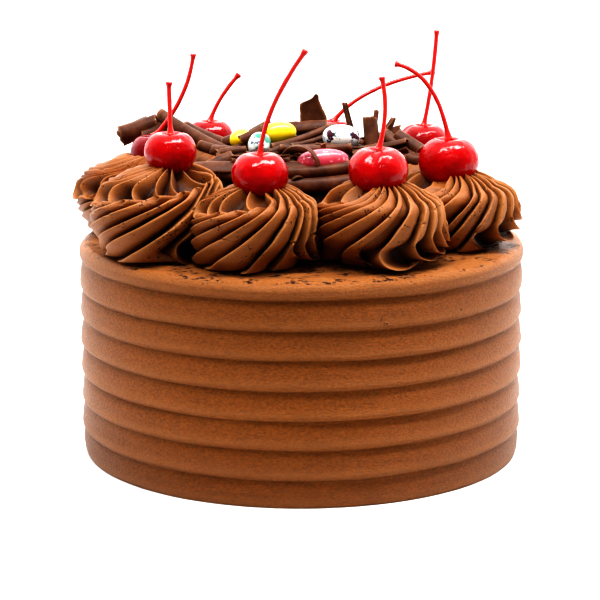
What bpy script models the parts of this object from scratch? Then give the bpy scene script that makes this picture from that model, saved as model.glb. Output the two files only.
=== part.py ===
"""A round chocolate cake with a ribbed side, eight piped swirls and a nest of chocolate curls.

Each swirl carries a cherry with its stem. Five sugar-shelled chocolate pebbles lie in the nest.
Lengths are metres, +Z is up and +Y points away from the cake's front. The origin is the centre
of the flat base that the cake rests on.
"""

import math
from collections import namedtuple

import bmesh
import bpy
from mathutils import Vector

MM = 0.001
CONTACT_GAP = 0.3 * MM

# The cake is a drum with seven comb grooves between soft bands.
CAKE_RADIUS = 100 * MM
CAKE_HEIGHT = 97 * MM
GROOVE_DEPTH = 2 * MM
GROOVE_PITCH = 12.75 * MM
LOWEST_GROOVE = 12 * MM
GROOVE_COUNT = 7
BASE_INSET = 1.6 * MM
TOP_EDGE_RADIUS = 4.5 * MM
CAKE_SEGMENTS = 48

# The swirls stand on an oval ring, counted from the front left, counter-clockwise from above.
RING_CENTRE = Vector((-3 * MM, -3 * MM))
RING_HALF_WIDTH = 70 * MM
RING_HALF_DEPTH = 62 * MM

# A swirl is a squat dome of leaning ridges that turn as they climb to the cherry.
RIDGES = 18
RIDGE_LEAN = 0.28
FIRST_RIDGE_STEP = 40
TOP_SHIFT_CURVE = 3
SEAT_CLEARANCE = 0.9 * MM
SEAT_RADIUS = 8.4 * MM
SEAT_DROP = 0.5 * MM

# Each station of a swirl's side: share of the radius, share of the height, groove depth,
# degrees that the ridges have turned.
Station = namedtuple("Station", "radius height depth turn")
SWIRL_STATIONS = (
    Station(0.80, 0.00, 2.6 * MM, 0),
    Station(0.85, 0.12, 4.2 * MM, 5),
    Station(0.95, 0.29, 5.2 * MM, 14),
    Station(1.00, 0.48, 5.6 * MM, 24),
    Station(0.97, 0.67, 5.4 * MM, 35),
    Station(0.85, 0.84, 4.8 * MM, 46),
    Station(0.64, 0.95, 3.6 * MM, 57),
    Station(0.46, 1.00, 2.0 * MM, 66),
)

# Each swirl: degrees round the ring from the front, distance out as a share of the ring,
# radius, height, shift of its top, cherry radius, cherry's middle above the lip.
Swirl = namedtuple("Swirl", "bearing distance radius height shift cherry_radius cherry_rise")
SWIRLS = (
    Swirl(-53, 1.08, 28.5 * MM, 39.0 * MM, (7.0 * MM, 5.5 * MM), 11.4 * MM, 5.8 * MM),
    Swirl(-14, 1.00, 27.4 * MM, 34.0 * MM, (2.5 * MM, 1.0 * MM), 12.1 * MM, 5.0 * MM),
    Swirl(30, 1.03, 28.4 * MM, 34.4 * MM, (-0.5 * MM, 2.0 * MM), 12.9 * MM, 5.2 * MM),
    Swirl(78, 1.01, 30.0 * MM, 32.0 * MM, (-1.0 * MM, 1.0 * MM), 13.4 * MM, 5.2 * MM),
    Swirl(124, 1.00, 27.5 * MM, 32.6 * MM, (1.5 * MM, 1.0 * MM), 12.0 * MM, 5.2 * MM),
    Swirl(166, 1.00, 27.5 * MM, 31.5 * MM, (1.0 * MM, 0.0 * MM), 11.6 * MM, 5.2 * MM),
    Swirl(210, 1.00, 27.5 * MM, 33.2 * MM, (-5.0 * MM, 0.0 * MM), 11.0 * MM, 4.8 * MM),
    Swirl(254, 1.04, 30.5 * MM, 35.6 * MM, (6.0 * MM, 0.0 * MM), 11.2 * MM, 0.6 * MM),
)

# A cherry is a squat ball with a dimple round its stem.
CHERRY_SQUASH = 0.85
DIMPLE_DEPTH = 3.2 * MM
DIMPLE_WIDTH = 4.0 * MM
CHERRY_SEGMENTS = 12
CHERRY_LATITUDES = (-58, -30, -4, 22, 46, 66, 80)

# Each stem is one smooth bend from the dimple through a pulling point to its tip, both given
# from the middle of the cherry. It flares where it leaves the cherry and ends in a small knob.
Stem = namedtuple("Stem", "pull tip")
STEMS = (
    Stem(Vector((-0.2, 1.0, 17.4)) * MM, Vector((-0.5, 2.0, 29.4)) * MM),
    Stem(Vector((1.8, -1.0, 27.5)) * MM, Vector((19.4, -2.0, 51.9)) * MM),
    Stem(Vector((4.9, 1.0, 24.1)) * MM, Vector((1.2, 3.0, 38.9)) * MM),
    Stem(Vector((-5.7, 1.0, 38.5)) * MM, Vector((-24.1, 2.0, 42.2)) * MM),
    Stem(Vector((4.2, 1.0, 26.2)) * MM, Vector((5.8, 4.0, 51.2)) * MM),
    Stem(Vector((13.8, 1.0, 24.8)) * MM, Vector((48.2, 4.0, 30.2)) * MM),
    Stem(Vector((3.4, 1.0, 17.6)) * MM, Vector((13.9, 3.0, 28.8)) * MM),
    Stem(Vector((15.8, 0.0, 23.6)) * MM, Vector((18.3, 1.0, 44.4)) * MM),
)
STEM_RADIUS = 1.0 * MM
STEM_FOOT_RADIUS = 1.9 * MM
STEM_FOOT_CLEARANCE = 1.0 * MM
STEM_KNOB_RADIUS = 1.7 * MM
STEM_SIDES = 6
STEM_STEPS = 8

# The nest is a low oval mound with the curls and shards fused on. Heights count from the
# cake's top.
NEST_HALF_WIDTH = 39.5 * MM
NEST_HALF_DEPTH = 32 * MM
NEST_HEIGHT = 42 * MM
NEST_SEGMENTS = 20
# Each ring of the mound: share of its half-width and half-depth, share of its height.
NEST_RINGS = ((1.00, 0.00), (1.00, 0.77), (0.96, 0.90), (0.80, 0.97), (0.40, 1.00))

# Each curl: its two ends in millimetres, height from the cake's top, and its width.
Curl = namedtuple("Curl", "start end width")
CURLS = (
    Curl((-65.3, 33.0, 51.0), (-33.0, 6.0, 37.4), 6.2),
    Curl((-84.0, 33.0, 41.6), (-62.0, 33.0, 49.0), 8.6),
    Curl((-53.5, 35.0, 45.3), (-30.0, 12.0, 39.5), 4.8),
    Curl((-46.0, 6.0, 39.6), (-24.0, -8.0, 39.4), 4.2),
    Curl((-35.4, -4.0, 39.8), (-17.0, 6.0, 42.6), 3.4),
    Curl((-31.0, -23.5, 38.6), (-5.0, -25.0, 39.2), 5.2),
    Curl((-8.0, -32.0, 34.6), (22.0, -28.5, 36.6), 6.8),
    Curl((-10.0, -17.5, 43.2), (22.5, -15.5, 43.4), 4.6),
    Curl((-14.0, -11.5, 42.6), (12.5, 12.0, 48.2), 3.8),
    Curl((-5.0, -8.0, 42.2), (14.0, 8.0, 45.6), 3.0),
    Curl((-28.0, 12.0, 41.4), (-13.0, 18.0, 46.6), 4.4),
    Curl((19.3, 9.0, 59.6), (27.0, 2.0, 36.0), 2.9),
    Curl((31.0, 7.0, 52.8), (32.0, -1.0, 34.0), 6.4),
    Curl((34.5, 15.0, 55.6), (30.0, 7.0, 34.0), 3.2),
    Curl((42.0, 14.0, 51.6), (29.0, 4.0, 35.0), 3.2),
    Curl((29.0, -1.0, 38.2), (48.0, -5.0, 42.4), 7.6),
    Curl((-2.0, 22.0, 44.6), (22.0, 12.0, 41.6), 3.6),
    Curl((-32.0, 21.0, 38.0), (-6.0, 25.0, 39.0), 5.6),
    Curl((2.0, 25.0, 38.4), (30.0, 18.0, 39.0), 5.2),
    Curl((-22.0, 19.0, 40.6), (9.0, 17.0, 41.8), 4.6),
    Curl((20.0, 14.0, 40.0), (42.0, 22.0, 43.6), 4.4),
    Curl((23.0, -19.0, 38.4), (37.0, -12.0, 39.0), 4.6),
    Curl((-37.0, -8.0, 38.0), (-24.0, -19.0, 38.8), 4.4),
    Curl((2.0, 8.0, 42.0), (28.0, 8.0, 41.4), 4.6),
    Curl((-25.0, -20.0, 39.4), (-8.0, -14.0, 42.2), 4.0),
    Curl((6.0, -9.5, 42.4), (29.0, -11.0, 40.8), 4.0),
    Curl((-13.0, 24.5, 39.0), (10.0, 19.0, 41.4), 4.4),
    Curl((24.0, 5.0, 40.6), (36.0, -7.0, 38.8), 4.4),
    Curl((-38.0, 6.0, 37.6), (-27.0, 18.0, 39.4), 4.8),
    Curl((-14.0, 12.0, 41.8), (-1.0, 22.5, 41.2), 3.8),
)
CURL_SIDES = 7
CURL_SAG = 0.04

# Each shard is a thin bent plate on its edge: foot in millimetres, heading of its width in
# degrees, width at the foot, height, shift of its tip along the width.
Shard = namedtuple("Shard", "foot heading width height tip_shift")
SHARDS = (
    Shard((4.6, 25.0, 36.0), 4, 10.6, 23.0, 2.4),
    Shard((-34.5, -18.5, 33.0), 8, 15.0, 5.0, 3.0),
    Shard((-66.0, 31.0, 43.0), 10, 14.0, 9.0, 2.0),
    Shard((19.0, 20.0, 36.0), -30, 9.0, 13.0, -2.0),
)
SHARD_THICKNESS = 1.5 * MM
SHARD_BOW = 1.6 * MM

# Each pebble: name, middle in millimetres with height from the cake's top, length, thickness,
# heading and rise of its long axis in degrees, colour.
Pebble = namedtuple("Pebble", "name middle length thickness heading rise colour")
PEBBLES = (
    Pebble("pebble_yellow", (-10.0, 4.5, 46.6), 15.6, 9.6, 8, 3, "F8E22C"),
    Pebble("pebble_lemon", (-27.4, 8.6, 43.4), 12.0, 8.6, 62, 10, "F8E22C"),
    Pebble("pebble_green", (-18.6, -9.0, 43.2), 12.6, 10.4, 80, 20, "2FA06C"),
    Pebble("pebble_white", (17.6, -1.0, 45.4), 16.8, 11.6, -4, 0, "F0EFEA"),
    Pebble("pebble_pink", (9.6, -24.6, 38.4), 23.0, 10.8, 5, 3, "E36A88"),
)
PEBBLE_SEGMENTS = 12
PEBBLE_LATITUDES = (-54, -18, 18, 54)

ICING_COLOUR = "8A4A26"
SWIRL_COLOUR = "83482A"
CHERRY_COLOUR = "C8101C"
STEM_COLOUR = "D81C10"
CHOCOLATE_COLOUR = "4A2A1C"


def clear_scene():
    """Removes every object, so the model starts from an empty scene."""
    for item in list(bpy.data.objects):
        bpy.data.objects.remove(item, do_unlink=True)


def linear(hex_colour):
    """Turns an sRGB hex colour into the linear RGBA that a shader takes."""
    channels = [int(hex_colour[i:i + 2], 16) / 255 for i in (0, 2, 4)]
    return [c / 12.92 if c <= 0.04045 else ((c + 0.055) / 1.055) ** 2.4 for c in channels] + [1.0]


def finish(name, hex_colour, roughness, coat=0.0):
    """Makes a plain food finish with an optional glossy coat."""
    material = bpy.data.materials.new(name)
    material.use_nodes = True
    shader = material.node_tree.nodes["Principled BSDF"]
    shader.inputs["Base Color"].default_value = linear(hex_colour)
    shader.inputs["Roughness"].default_value = roughness
    shader.inputs["Metallic"].default_value = 0.0
    shader.inputs["Coat Weight"].default_value = coat
    return material


def add_object(name, points, faces, material, smooth=True):
    """Makes one object from points and faces, with its faces turned outwards."""
    mesh = bpy.data.meshes.new(name)
    mesh.from_pydata([tuple(p) for p in points], [], faces)
    shape = bmesh.new()
    shape.from_mesh(mesh)
    bmesh.ops.recalc_face_normals(shape, faces=shape.faces)
    shape.to_mesh(mesh)
    shape.free()
    if smooth:
        mesh.shade_smooth()
        mesh.set_sharp_from_angle(angle=math.radians(40))
    mesh.materials.append(material)
    item = bpy.data.objects.new(name, mesh)
    bpy.context.scene.collection.objects.link(item)
    return item


def skin(rings, first_tip, last_tip):
    """Joins rings of points into a closed shape that ends in a point at each end.

    Returns the points and the faces. All rings have the same number of points.
    """
    count = len(rings[0])
    points = [first_tip] + [p for ring in rings for p in ring] + [last_tip]
    last = len(points) - 1
    faces = []
    for j in range(count):
        after = (j + 1) % count
        faces.append((0, 1 + after, 1 + j))
        for i in range(len(rings) - 1):
            low = 1 + i * count
            high = low + count
            faces.append((low + j, low + after, high + after, high + j))
        top = 1 + (len(rings) - 1) * count
        faces.append((top + j, top + after, last))
    return points, faces


def circle(centre, radius, height, count, stretch=1.0):
    """Gives the points of a level ring, with its depth stretched."""
    ring = []
    for j in range(count):
        angle = math.tau * j / count
        across = radius * math.cos(angle)
        deep = radius * stretch * math.sin(angle)
        ring.append(Vector((centre[0] + across, centre[1] + deep, height)))
    return ring


def cake_profile():
    """Gives the cake's side from base to top as (radius, height) pairs."""
    grooves = [LOWEST_GROOVE + k * GROOVE_PITCH for k in range(GROOVE_COUNT)]
    profile = [
        (CAKE_RADIUS - BASE_INSET, 0.0),
        (CAKE_RADIUS - 0.3 * BASE_INSET, 0.3 * LOWEST_GROOVE),
        (CAKE_RADIUS, 0.75 * LOWEST_GROOVE),
    ]
    for height in grooves:
        profile.append((CAKE_RADIUS - GROOVE_DEPTH, height))
        if height < grooves[-1]:
            for share, bulge in ((0.16, 0.75), (0.5, 1.0), (0.84, 0.8)):
                radius = CAKE_RADIUS - GROOVE_DEPTH * (1 - bulge)
                profile.append((radius, height + share * GROOVE_PITCH))
    edge_middle = CAKE_HEIGHT - TOP_EDGE_RADIUS
    for step in range(4):
        angle = math.radians(90) * step / 3
        radius = CAKE_RADIUS - TOP_EDGE_RADIUS * (1 - math.cos(angle)) - 0.3 * MM
        profile.append((radius, edge_middle + TOP_EDGE_RADIUS * math.sin(angle)))
    return profile


def build_cake():
    """Turns the drum: soft bands, sharp grooves between them and a rounded top edge."""
    rings = [circle((0, 0), radius, height, CAKE_SEGMENTS) for radius, height in cake_profile()]
    points, faces = skin(rings, Vector((0, 0, 0)), Vector((0, 0, CAKE_HEIGHT)))
    add_object("cake", points, faces, finish("chocolate_icing", ICING_COLOUR, 0.5))


def swirl_centre(swirl):
    """Gives where a swirl stands on its oval ring."""
    bearing = math.radians(swirl.bearing)
    offset = Vector((RING_HALF_WIDTH * math.sin(bearing), -RING_HALF_DEPTH * math.cos(bearing)))
    return RING_CENTRE + swirl.distance * offset


def room_towards(index, angle, lean):
    """Gives how far a swirl can reach in one direction before it presses on a neighbour."""
    centre = swirl_centre(SWIRLS[index])
    room = SWIRLS[index].radius
    for side in (-1, 1):
        towards = swirl_centre(SWIRLS[(index + side) % len(SWIRLS)]) - centre
        facing = math.cos(angle - math.atan2(towards.y, towards.x))
        if facing > 0:
            free = towards.length / 2 - CONTACT_GAP - lean.dot(towards.normalized())
            room = min(room, free / facing)
    return room


def cherry_middle(index):
    """Gives the middle of the cherry that sits on a swirl."""
    swirl = SWIRLS[index]
    centre = swirl_centre(swirl) + Vector(swirl.shift)
    height = CAKE_HEIGHT + CONTACT_GAP + swirl.height + swirl.cherry_rise
    return Vector((centre.x, centre.y, height))


def station_normals(swirl):
    """Gives the outward direction of a swirl's side at each station, as (across, up)."""
    side = [(s.radius * swirl.radius, s.height * swirl.height) for s in SWIRL_STATIONS]
    normals = []
    for i in range(len(side)):
        before = side[max(i - 1, 0)]
        after = side[min(i + 1, len(side) - 1)]
        run = Vector((after[1] - before[1], before[0] - after[0])).normalized()
        normals.append(run)
    normals[0] = Vector((1, 0))
    return normals


def swirl_ring(index, station, normal):
    """Gives one station's points, a groove point and a crest point for each ridge in turn."""
    swirl = SWIRLS[index]
    centre = swirl_centre(swirl)
    lean = Vector(swirl.shift) * station.height ** TOP_SHIFT_CURVE
    ring = []
    for column in range(2 * RIDGES):
        ridge, is_crest = divmod(column, 2)
        angle = math.tau * (ridge + RIDGE_LEAN * is_crest) / RIDGES
        angle += math.radians(station.turn + FIRST_RIDGE_STEP * index)
        depth = 0.0 if is_crest else station.depth
        radius = station.radius * swirl.radius - normal.x * depth
        radius = min(radius, room_towards(index, angle, lean))
        height = CAKE_HEIGHT + CONTACT_GAP + station.height * swirl.height - normal.y * depth
        across = centre.x + lean.x + radius * math.cos(angle)
        ring.append(Vector((across, centre.y + lean.y + radius * math.sin(angle), height)))
    return ring


def build_swirl(index, material):
    """Builds one piped swirl: ridges from the base to the lip, then a seat for the cherry."""
    swirl = SWIRLS[index]
    normals = station_normals(swirl)
    rings = [swirl_ring(index, s, n) for s, n in zip(SWIRL_STATIONS, normals)]
    middle = cherry_middle(index)
    seat_width = swirl.cherry_radius + SEAT_CLEARANCE
    seat_depth = swirl.cherry_radius * CHERRY_SQUASH + SEAT_CLEARANCE
    rise = seat_depth * math.sqrt(1 - (SEAT_RADIUS / seat_width) ** 2)
    turn = math.radians(SWIRL_STATIONS[-1].turn + FIRST_RIDGE_STEP * index)
    seat = []
    for column in range(2 * RIDGES):
        angle = turn + math.tau * column / (2 * RIDGES)
        across = middle.x + SEAT_RADIUS * math.cos(angle)
        seat.append(Vector((across, middle.y + SEAT_RADIUS * math.sin(angle), middle.z - rise)))
    rings.append(seat)
    centre = swirl_centre(swirl)
    foot = Vector((centre.x, centre.y, CAKE_HEIGHT + CONTACT_GAP))
    points, faces = skin(rings, foot, middle - Vector((0, 0, seat_depth + SEAT_DROP)))
    add_object(f"swirl_{index + 1}", points, faces, material)


def cherry_surface(radius, latitude):
    """Gives a cherry's (distance from its axis, height) at a latitude in degrees."""
    angle = math.radians(latitude)
    across = radius * math.cos(angle)
    dimple = DIMPLE_DEPTH * math.exp(-(across / DIMPLE_WIDTH) ** 2) if latitude > 0 else 0.0
    return across, radius * CHERRY_SQUASH * math.sin(angle) - dimple


def build_cherry(index, material):
    """Builds one cherry on its swirl."""
    radius = SWIRLS[index].cherry_radius
    middle = cherry_middle(index)
    rings = []
    for latitude in CHERRY_LATITUDES:
        across, height = cherry_surface(radius, latitude)
        rings.append(circle(middle, across, middle.z + height, CHERRY_SEGMENTS))
    bottom = middle - Vector((0, 0, radius * CHERRY_SQUASH))
    top = middle + Vector((0, 0, cherry_surface(radius, 90)[1]))
    points, faces = skin(rings, bottom, top)
    add_object(f"cherry_{index + 1}", points, faces, material)


def bend(start, pull, end, share):
    """Gives a point on the smooth bend from start to end that is pulled towards one point."""
    return start.lerp(pull, share).lerp(pull.lerp(end, share), share)


def tube(path, radii, sides):
    """Gives the points and faces of a closed tube with its own radius at each path point."""
    rings = []
    for i, point in enumerate(path):
        ahead = (path[min(i + 1, len(path) - 1)] - path[max(i - 1, 0)]).normalized()
        turned = Vector((0, 0, 1)).rotation_difference(ahead)
        ring = []
        for j in range(sides):
            angle = math.tau * j / sides
            ring.append(point + turned @ Vector((math.cos(angle), math.sin(angle), 0)) * radii[i])
        rings.append(ring)
    return skin(rings, path[0], path[-1])


def stem_radius(share):
    """Gives a stem's radius at a share of its length: a flared foot, then a knob at the tip."""
    flare = (STEM_FOOT_RADIUS - STEM_RADIUS) * math.exp(-share / 0.07)
    knob = (STEM_KNOB_RADIUS - STEM_RADIUS) * math.exp(-((1 - share) / 0.05) ** 2)
    return STEM_RADIUS + flare + knob


def build_stem(index, material):
    """Builds one stem from its cherry's dimple to its tip."""
    middle = cherry_middle(index)
    floor = cherry_surface(SWIRLS[index].cherry_radius, 90)[1]
    start = middle + Vector((0, 0, floor + STEM_FOOT_CLEARANCE))
    stem = STEMS[index]
    shares = [(step / (STEM_STEPS - 1)) ** 1.3 for step in range(STEM_STEPS - 1)] + [0.96, 1.0]
    path = [bend(start, middle + stem.pull, middle + stem.tip, share) for share in shares]
    path[1] = Vector((start.x, start.y, path[1].z))
    points, faces = tube(path, [stem_radius(share) for share in shares], STEM_SIDES)
    add_object(f"cherry_stem_{index + 1}", points, faces, material)


def above_top(place):
    """Turns a place in millimetres, height counted from the cake's top, into a point."""
    return Vector(place) * MM + Vector((0, 0, CAKE_HEIGHT))


def curl_piece(curl, material):
    """Makes one rolled curl, which sags a little between its ends."""
    start = above_top(curl.start)
    end = above_top(curl.end)
    pull = (start + end) / 2 - Vector((0, 0, CURL_SAG * (end - start).length))
    path = [bend(start, pull, end, share) for share in (0.0, 0.5, 1.0)]
    radius = curl.width * MM / 2
    points, faces = tube(path, [0.92 * radius, radius, 0.9 * radius], CURL_SIDES)
    return add_object("curl", points, faces, material, smooth=False)


def plate(front, back):
    """Gives the points and faces of a closed plate between two grids of the same size."""
    rows = len(front)
    columns = len(front[0])
    points = [p for row in front for p in row] + [p for row in back for p in row]
    behind = rows * columns
    faces = []
    for i in range(rows - 1):
        for j in range(columns - 1):
            corner = i * columns + j
            quad = (corner, corner + 1, corner + columns + 1, corner + columns)
            faces.append(quad)
            faces.append(tuple(behind + k for k in quad[::-1]))
    edge = list(range(columns - 1))
    edge += [i * columns + columns - 1 for i in range(rows - 1)]
    edge += [(rows - 1) * columns + j for j in range(columns - 1, 0, -1)]
    edge += [i * columns for i in range(rows - 1, 0, -1)]
    for here, after in zip(edge, edge[1:] + edge[:1]):
        faces.append((here, behind + here, behind + after, after))
    return points, faces


def shard_piece(shard, material):
    """Makes one upright shard: a bowed plate that narrows to a tip."""
    foot = above_top(shard.foot)
    heading = math.radians(shard.heading)
    along = Vector((math.cos(heading), math.sin(heading), 0))
    through = Vector((-along.y, along.x, 0))
    front = []
    back = []
    for rise in (0.0, 0.55, 1.0):
        width = shard.width * MM * (1 - 0.75 * rise)
        middle = foot + along * shard.tip_shift * MM * rise
        middle += Vector((0, 0, shard.height * MM * rise))
        row = []
        for across in (-0.5, 0.0, 0.5):
            bow = SHARD_BOW * (1 - 4 * across * across) * (1 - rise)
            row.append(middle + along * across * width + through * bow)
        front.append([p - through * SHARD_THICKNESS / 2 for p in row])
        back.append([p + through * SHARD_THICKNESS / 2 for p in row])
    points, faces = plate(front, back)
    return add_object("shard", points, faces, material, smooth=False)


def pebble_shape(pebble, growth=0.0):
    """Gives the points and faces of a pebble, grown all round by a length."""
    half_length = pebble.length * MM / 2 + growth
    half_thickness = pebble.thickness * MM / 2 + growth
    heading = math.radians(pebble.heading)
    rise = math.radians(pebble.rise)
    ahead = Vector((math.cos(heading), math.sin(heading), 0))
    along = ahead * math.cos(rise) + Vector((0, 0, math.sin(rise)))
    side = Vector((-ahead.y, ahead.x, 0))
    over = along.cross(side)
    middle = above_top(pebble.middle)
    rings = []
    for latitude in PEBBLE_LATITUDES:
        lift = math.sin(math.radians(latitude)) * half_length
        spread = math.cos(math.radians(latitude)) * half_thickness
        ring = []
        for j in range(PEBBLE_SEGMENTS):
            angle = math.tau * j / PEBBLE_SEGMENTS
            outwards = side * math.cos(angle) + over * math.sin(angle)
            ring.append(middle + along * lift + outwards * spread)
        rings.append(ring)
    return skin(rings, middle - along * half_length, middle + along * half_length)


def boolean_with(item, others, operation):
    """Applies one Boolean of a list of objects to an item, then removes those objects."""
    group = bpy.data.collections.new("operands")
    for other in others:
        group.objects.link(other)
    modifier = item.modifiers.new(operation.title(), "BOOLEAN")
    modifier.operation = operation
    modifier.operand_type = "COLLECTION"
    modifier.collection = group
    bpy.context.view_layer.objects.active = item
    bpy.ops.object.modifier_apply(modifier=modifier.name)
    for other in others:
        bpy.data.objects.remove(other, do_unlink=True)
    bpy.data.collections.remove(group)


def build_nest():
    """Builds the mound, fuses the curls and shards on, and hollows a bed for each pebble."""
    material = finish("dark_chocolate", CHOCOLATE_COLOUR, 0.45)
    stretch = NEST_HALF_DEPTH / NEST_HALF_WIDTH
    floor = CAKE_HEIGHT + CONTACT_GAP
    rings = []
    for share, rise in NEST_RINGS:
        height = floor + rise * NEST_HEIGHT
        rings.append(circle(RING_CENTRE, share * NEST_HALF_WIDTH, height, NEST_SEGMENTS, stretch))
    foot = Vector((RING_CENTRE.x, RING_CENTRE.y, floor))
    points, faces = skin(rings, foot, foot + Vector((0, 0, NEST_HEIGHT)))
    nest = add_object("chocolate_curls", points, faces, material, smooth=False)
    pieces = [curl_piece(curl, material) for curl in CURLS]
    pieces += [shard_piece(shard, material) for shard in SHARDS]
    boolean_with(nest, pieces, "UNION")
    beds = []
    for pebble in PEBBLES:
        points, faces = pebble_shape(pebble, growth=CONTACT_GAP)
        beds.append(add_object("bed", points, faces, material, smooth=False))
    boolean_with(nest, beds, "DIFFERENCE")


def build_pebbles():
    """Builds the sugar-shelled pebbles that lie in the nest."""
    for pebble in PEBBLES:
        points, faces = pebble_shape(pebble)
        add_object(pebble.name, points, faces, finish(pebble.name, pebble.colour, 0.3, coat=0.3))


def main():
    """Builds the whole cake."""
    clear_scene()
    build_cake()
    swirl_material = finish("piped_chocolate_cream", SWIRL_COLOUR, 0.5)
    cherry_material = finish("glazed_cherry", CHERRY_COLOUR, 0.12, coat=1.0)
    stem_material = finish("cherry_stem", STEM_COLOUR, 0.3)
    for index in range(len(SWIRLS)):
        build_swirl(index, swirl_material)
        build_cherry(index, cherry_material)
        build_stem(index, stem_material)
    build_nest()
    build_pebbles()


main()
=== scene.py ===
"""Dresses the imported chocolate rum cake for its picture.

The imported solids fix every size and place, in metres with +Z up and the cake's front towards -Y.
Each class below makes one kind of piece over its own solid: the iced drum, the piped swirls, the
cherries and their stems, the heap of chocolate shavings and the sugar-shelled pebbles in it.
Sizes in the dataclasses are millimetres unless a name says otherwise, and azimuths are degrees
from the cake's front, growing towards +X.
"""

import logging
import math
from dataclasses import dataclass, field
from enum import Enum
from itertools import product

import bpy
import numpy as np
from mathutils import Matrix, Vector


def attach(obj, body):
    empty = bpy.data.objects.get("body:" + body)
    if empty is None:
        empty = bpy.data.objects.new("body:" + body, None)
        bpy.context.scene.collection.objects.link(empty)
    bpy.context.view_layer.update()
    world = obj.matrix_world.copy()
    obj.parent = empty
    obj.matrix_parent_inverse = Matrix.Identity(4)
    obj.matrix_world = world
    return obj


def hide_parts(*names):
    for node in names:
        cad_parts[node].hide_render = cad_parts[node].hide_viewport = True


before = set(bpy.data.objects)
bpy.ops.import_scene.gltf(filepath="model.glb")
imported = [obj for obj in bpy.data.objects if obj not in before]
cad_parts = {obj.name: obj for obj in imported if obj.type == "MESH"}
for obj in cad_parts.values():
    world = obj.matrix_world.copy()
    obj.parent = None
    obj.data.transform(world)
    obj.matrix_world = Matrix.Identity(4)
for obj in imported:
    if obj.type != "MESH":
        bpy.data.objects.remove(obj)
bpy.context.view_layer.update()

MM = 0.001
BODY = "root"
LOG = logging.getLogger("cake")

Array = np.ndarray
Point = tuple[float, float, float]


class Slot(Enum):
    """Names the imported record's finishes."""

    ICING = "icing"
    CREAM = "cream"
    CHERRY = "cherry"
    STEM = "stem"
    CHOCOLATE = "dark_chocolate"
    YELLOW = "yellow_shell"
    GREEN = "green_shell"
    WHITE = "white_shell"
    PINK = "pink_shell"


def linear(hex_colour: str) -> tuple[float, float, float, float]:
    """Turns an sRGB hex colour into linear light.

    Args:
        hex_colour: six hex digits.

    Returns:
        Red, green, blue and an alpha of one.
    """
    channels = [int(hex_colour[i:i + 2], 16) / 255 for i in (0, 2, 4)]
    red, green, blue = (
        c / 12.92 if c <= 0.04045 else ((c + 0.055) / 1.055) ** 2.4 for c in channels)
    return red, green, blue, 1.0


def fill_inputs(
    tree: bpy.types.NodeTree, node: bpy.types.Node, inputs: dict[str | int, object]
) -> None:
    """Fills a node's inputs.

    Args:
        tree: the node tree that it stands in.
        node: the node.
        inputs: values by name or position. A socket is linked, any other value is set.
    """
    for key, value in inputs.items():
        if isinstance(value, bpy.types.NodeSocket):
            tree.links.new(value, node.inputs[key])
        else:
            node.inputs[key].default_value = value


def add_node(
    tree: bpy.types.NodeTree,
    kind: str,
    settings: dict[str, object] | None = None,
    inputs: dict[str | int, object] | None = None,
) -> bpy.types.Node:
    """Adds one shader node, sets its options and fills its inputs.

    Args:
        tree: the material's node tree.
        kind: the node's type name.
        settings: options by attribute name.
        inputs: what its inputs get, as in fill_inputs.

    Returns:
        The new node.
    """
    node = tree.nodes.new(kind)
    for name, value in (settings or {}).items():
        setattr(node, name, value)
    fill_inputs(tree, node, inputs or {})
    return node


# A colour mix's options, and the positions of its inputs and its output among its sockets.
OF_COLOURS = {"data_type": "RGBA"}
MIX_SHARE = 0
MIX_A = 6
MIX_B = 7
MIX_OUT = 2


def start_finish(name: str) -> tuple[bpy.types.Material, bpy.types.NodeTree, bpy.types.Node]:
    """Starts a material.

    Args:
        name: what it is called.

    Returns:
        The material, its node tree and its shader.
    """
    finish = bpy.data.materials.new(name)
    finish.use_nodes = True
    return finish, finish.node_tree, finish.node_tree.nodes["Principled BSDF"]


def smooth_step(value: Array, low: float, high: float) -> Array:
    """Rises smoothly from 0 at low to 1 at high."""
    share = np.clip((value - low) / (high - low), 0.0, 1.0)
    return share * share * (3 - 2 * share)


def peak(away: Array, width: float, power: int = 2) -> Array:
    """Falls smoothly from 1 at 0 to nothing a few widths away."""
    return np.exp(-(away / width) ** power)


def azimuths(columns: int) -> Array:
    """Gives evenly spaced azimuths in radians, once round, as one row."""
    return np.linspace(0, math.tau, columns, endpoint=False)[None, :]


def join_points(across: Array, deep: Array, level: Array) -> Array:
    """Joins three coordinates, spread over each other's rows and columns, into points."""
    return np.stack(np.broadcast_arrays(across, deep, level), axis=-1)


def points_round(middle: Array, reach: Array, azimuth: Array, level: Array) -> Array:
    """Gives points round an upright axis.

    Args:
        middle: where the axis stands, across and deep.
        reach: how far each point is from it.
        azimuth: each point's azimuth, in radians from the front.
        level: each point's height.

    Returns:
        Rows by columns by three coordinates.
    """
    return join_points(
        middle[0] + reach * np.sin(azimuth), middle[1] - reach * np.cos(azimuth), level)


def curve_through(stations: Array, values: Array, at: Array) -> Array:
    """Reads a smooth curve that passes through its stations.

    Args:
        stations: rising positions of the known points.
        values: the curve's value at each of them.
        at: the positions to read.

    Returns:
        The values there, in the shape of at.
    """
    slopes = np.gradient(values, stations)
    index = np.clip(np.searchsorted(stations, at) - 1, 0, len(stations) - 2)
    span = stations[index + 1] - stations[index]
    t = np.clip((at - stations[index]) / span, 0.0, 1.0)
    start = (1 + 2 * t) * (1 - t) ** 2 * values[index] + t * (1 - t) ** 2 * span * slopes[index]
    end = t * t * (3 - 2 * t) * values[index + 1] - t * t * (1 - t) * span * slopes[index + 1]
    return start + end


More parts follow.
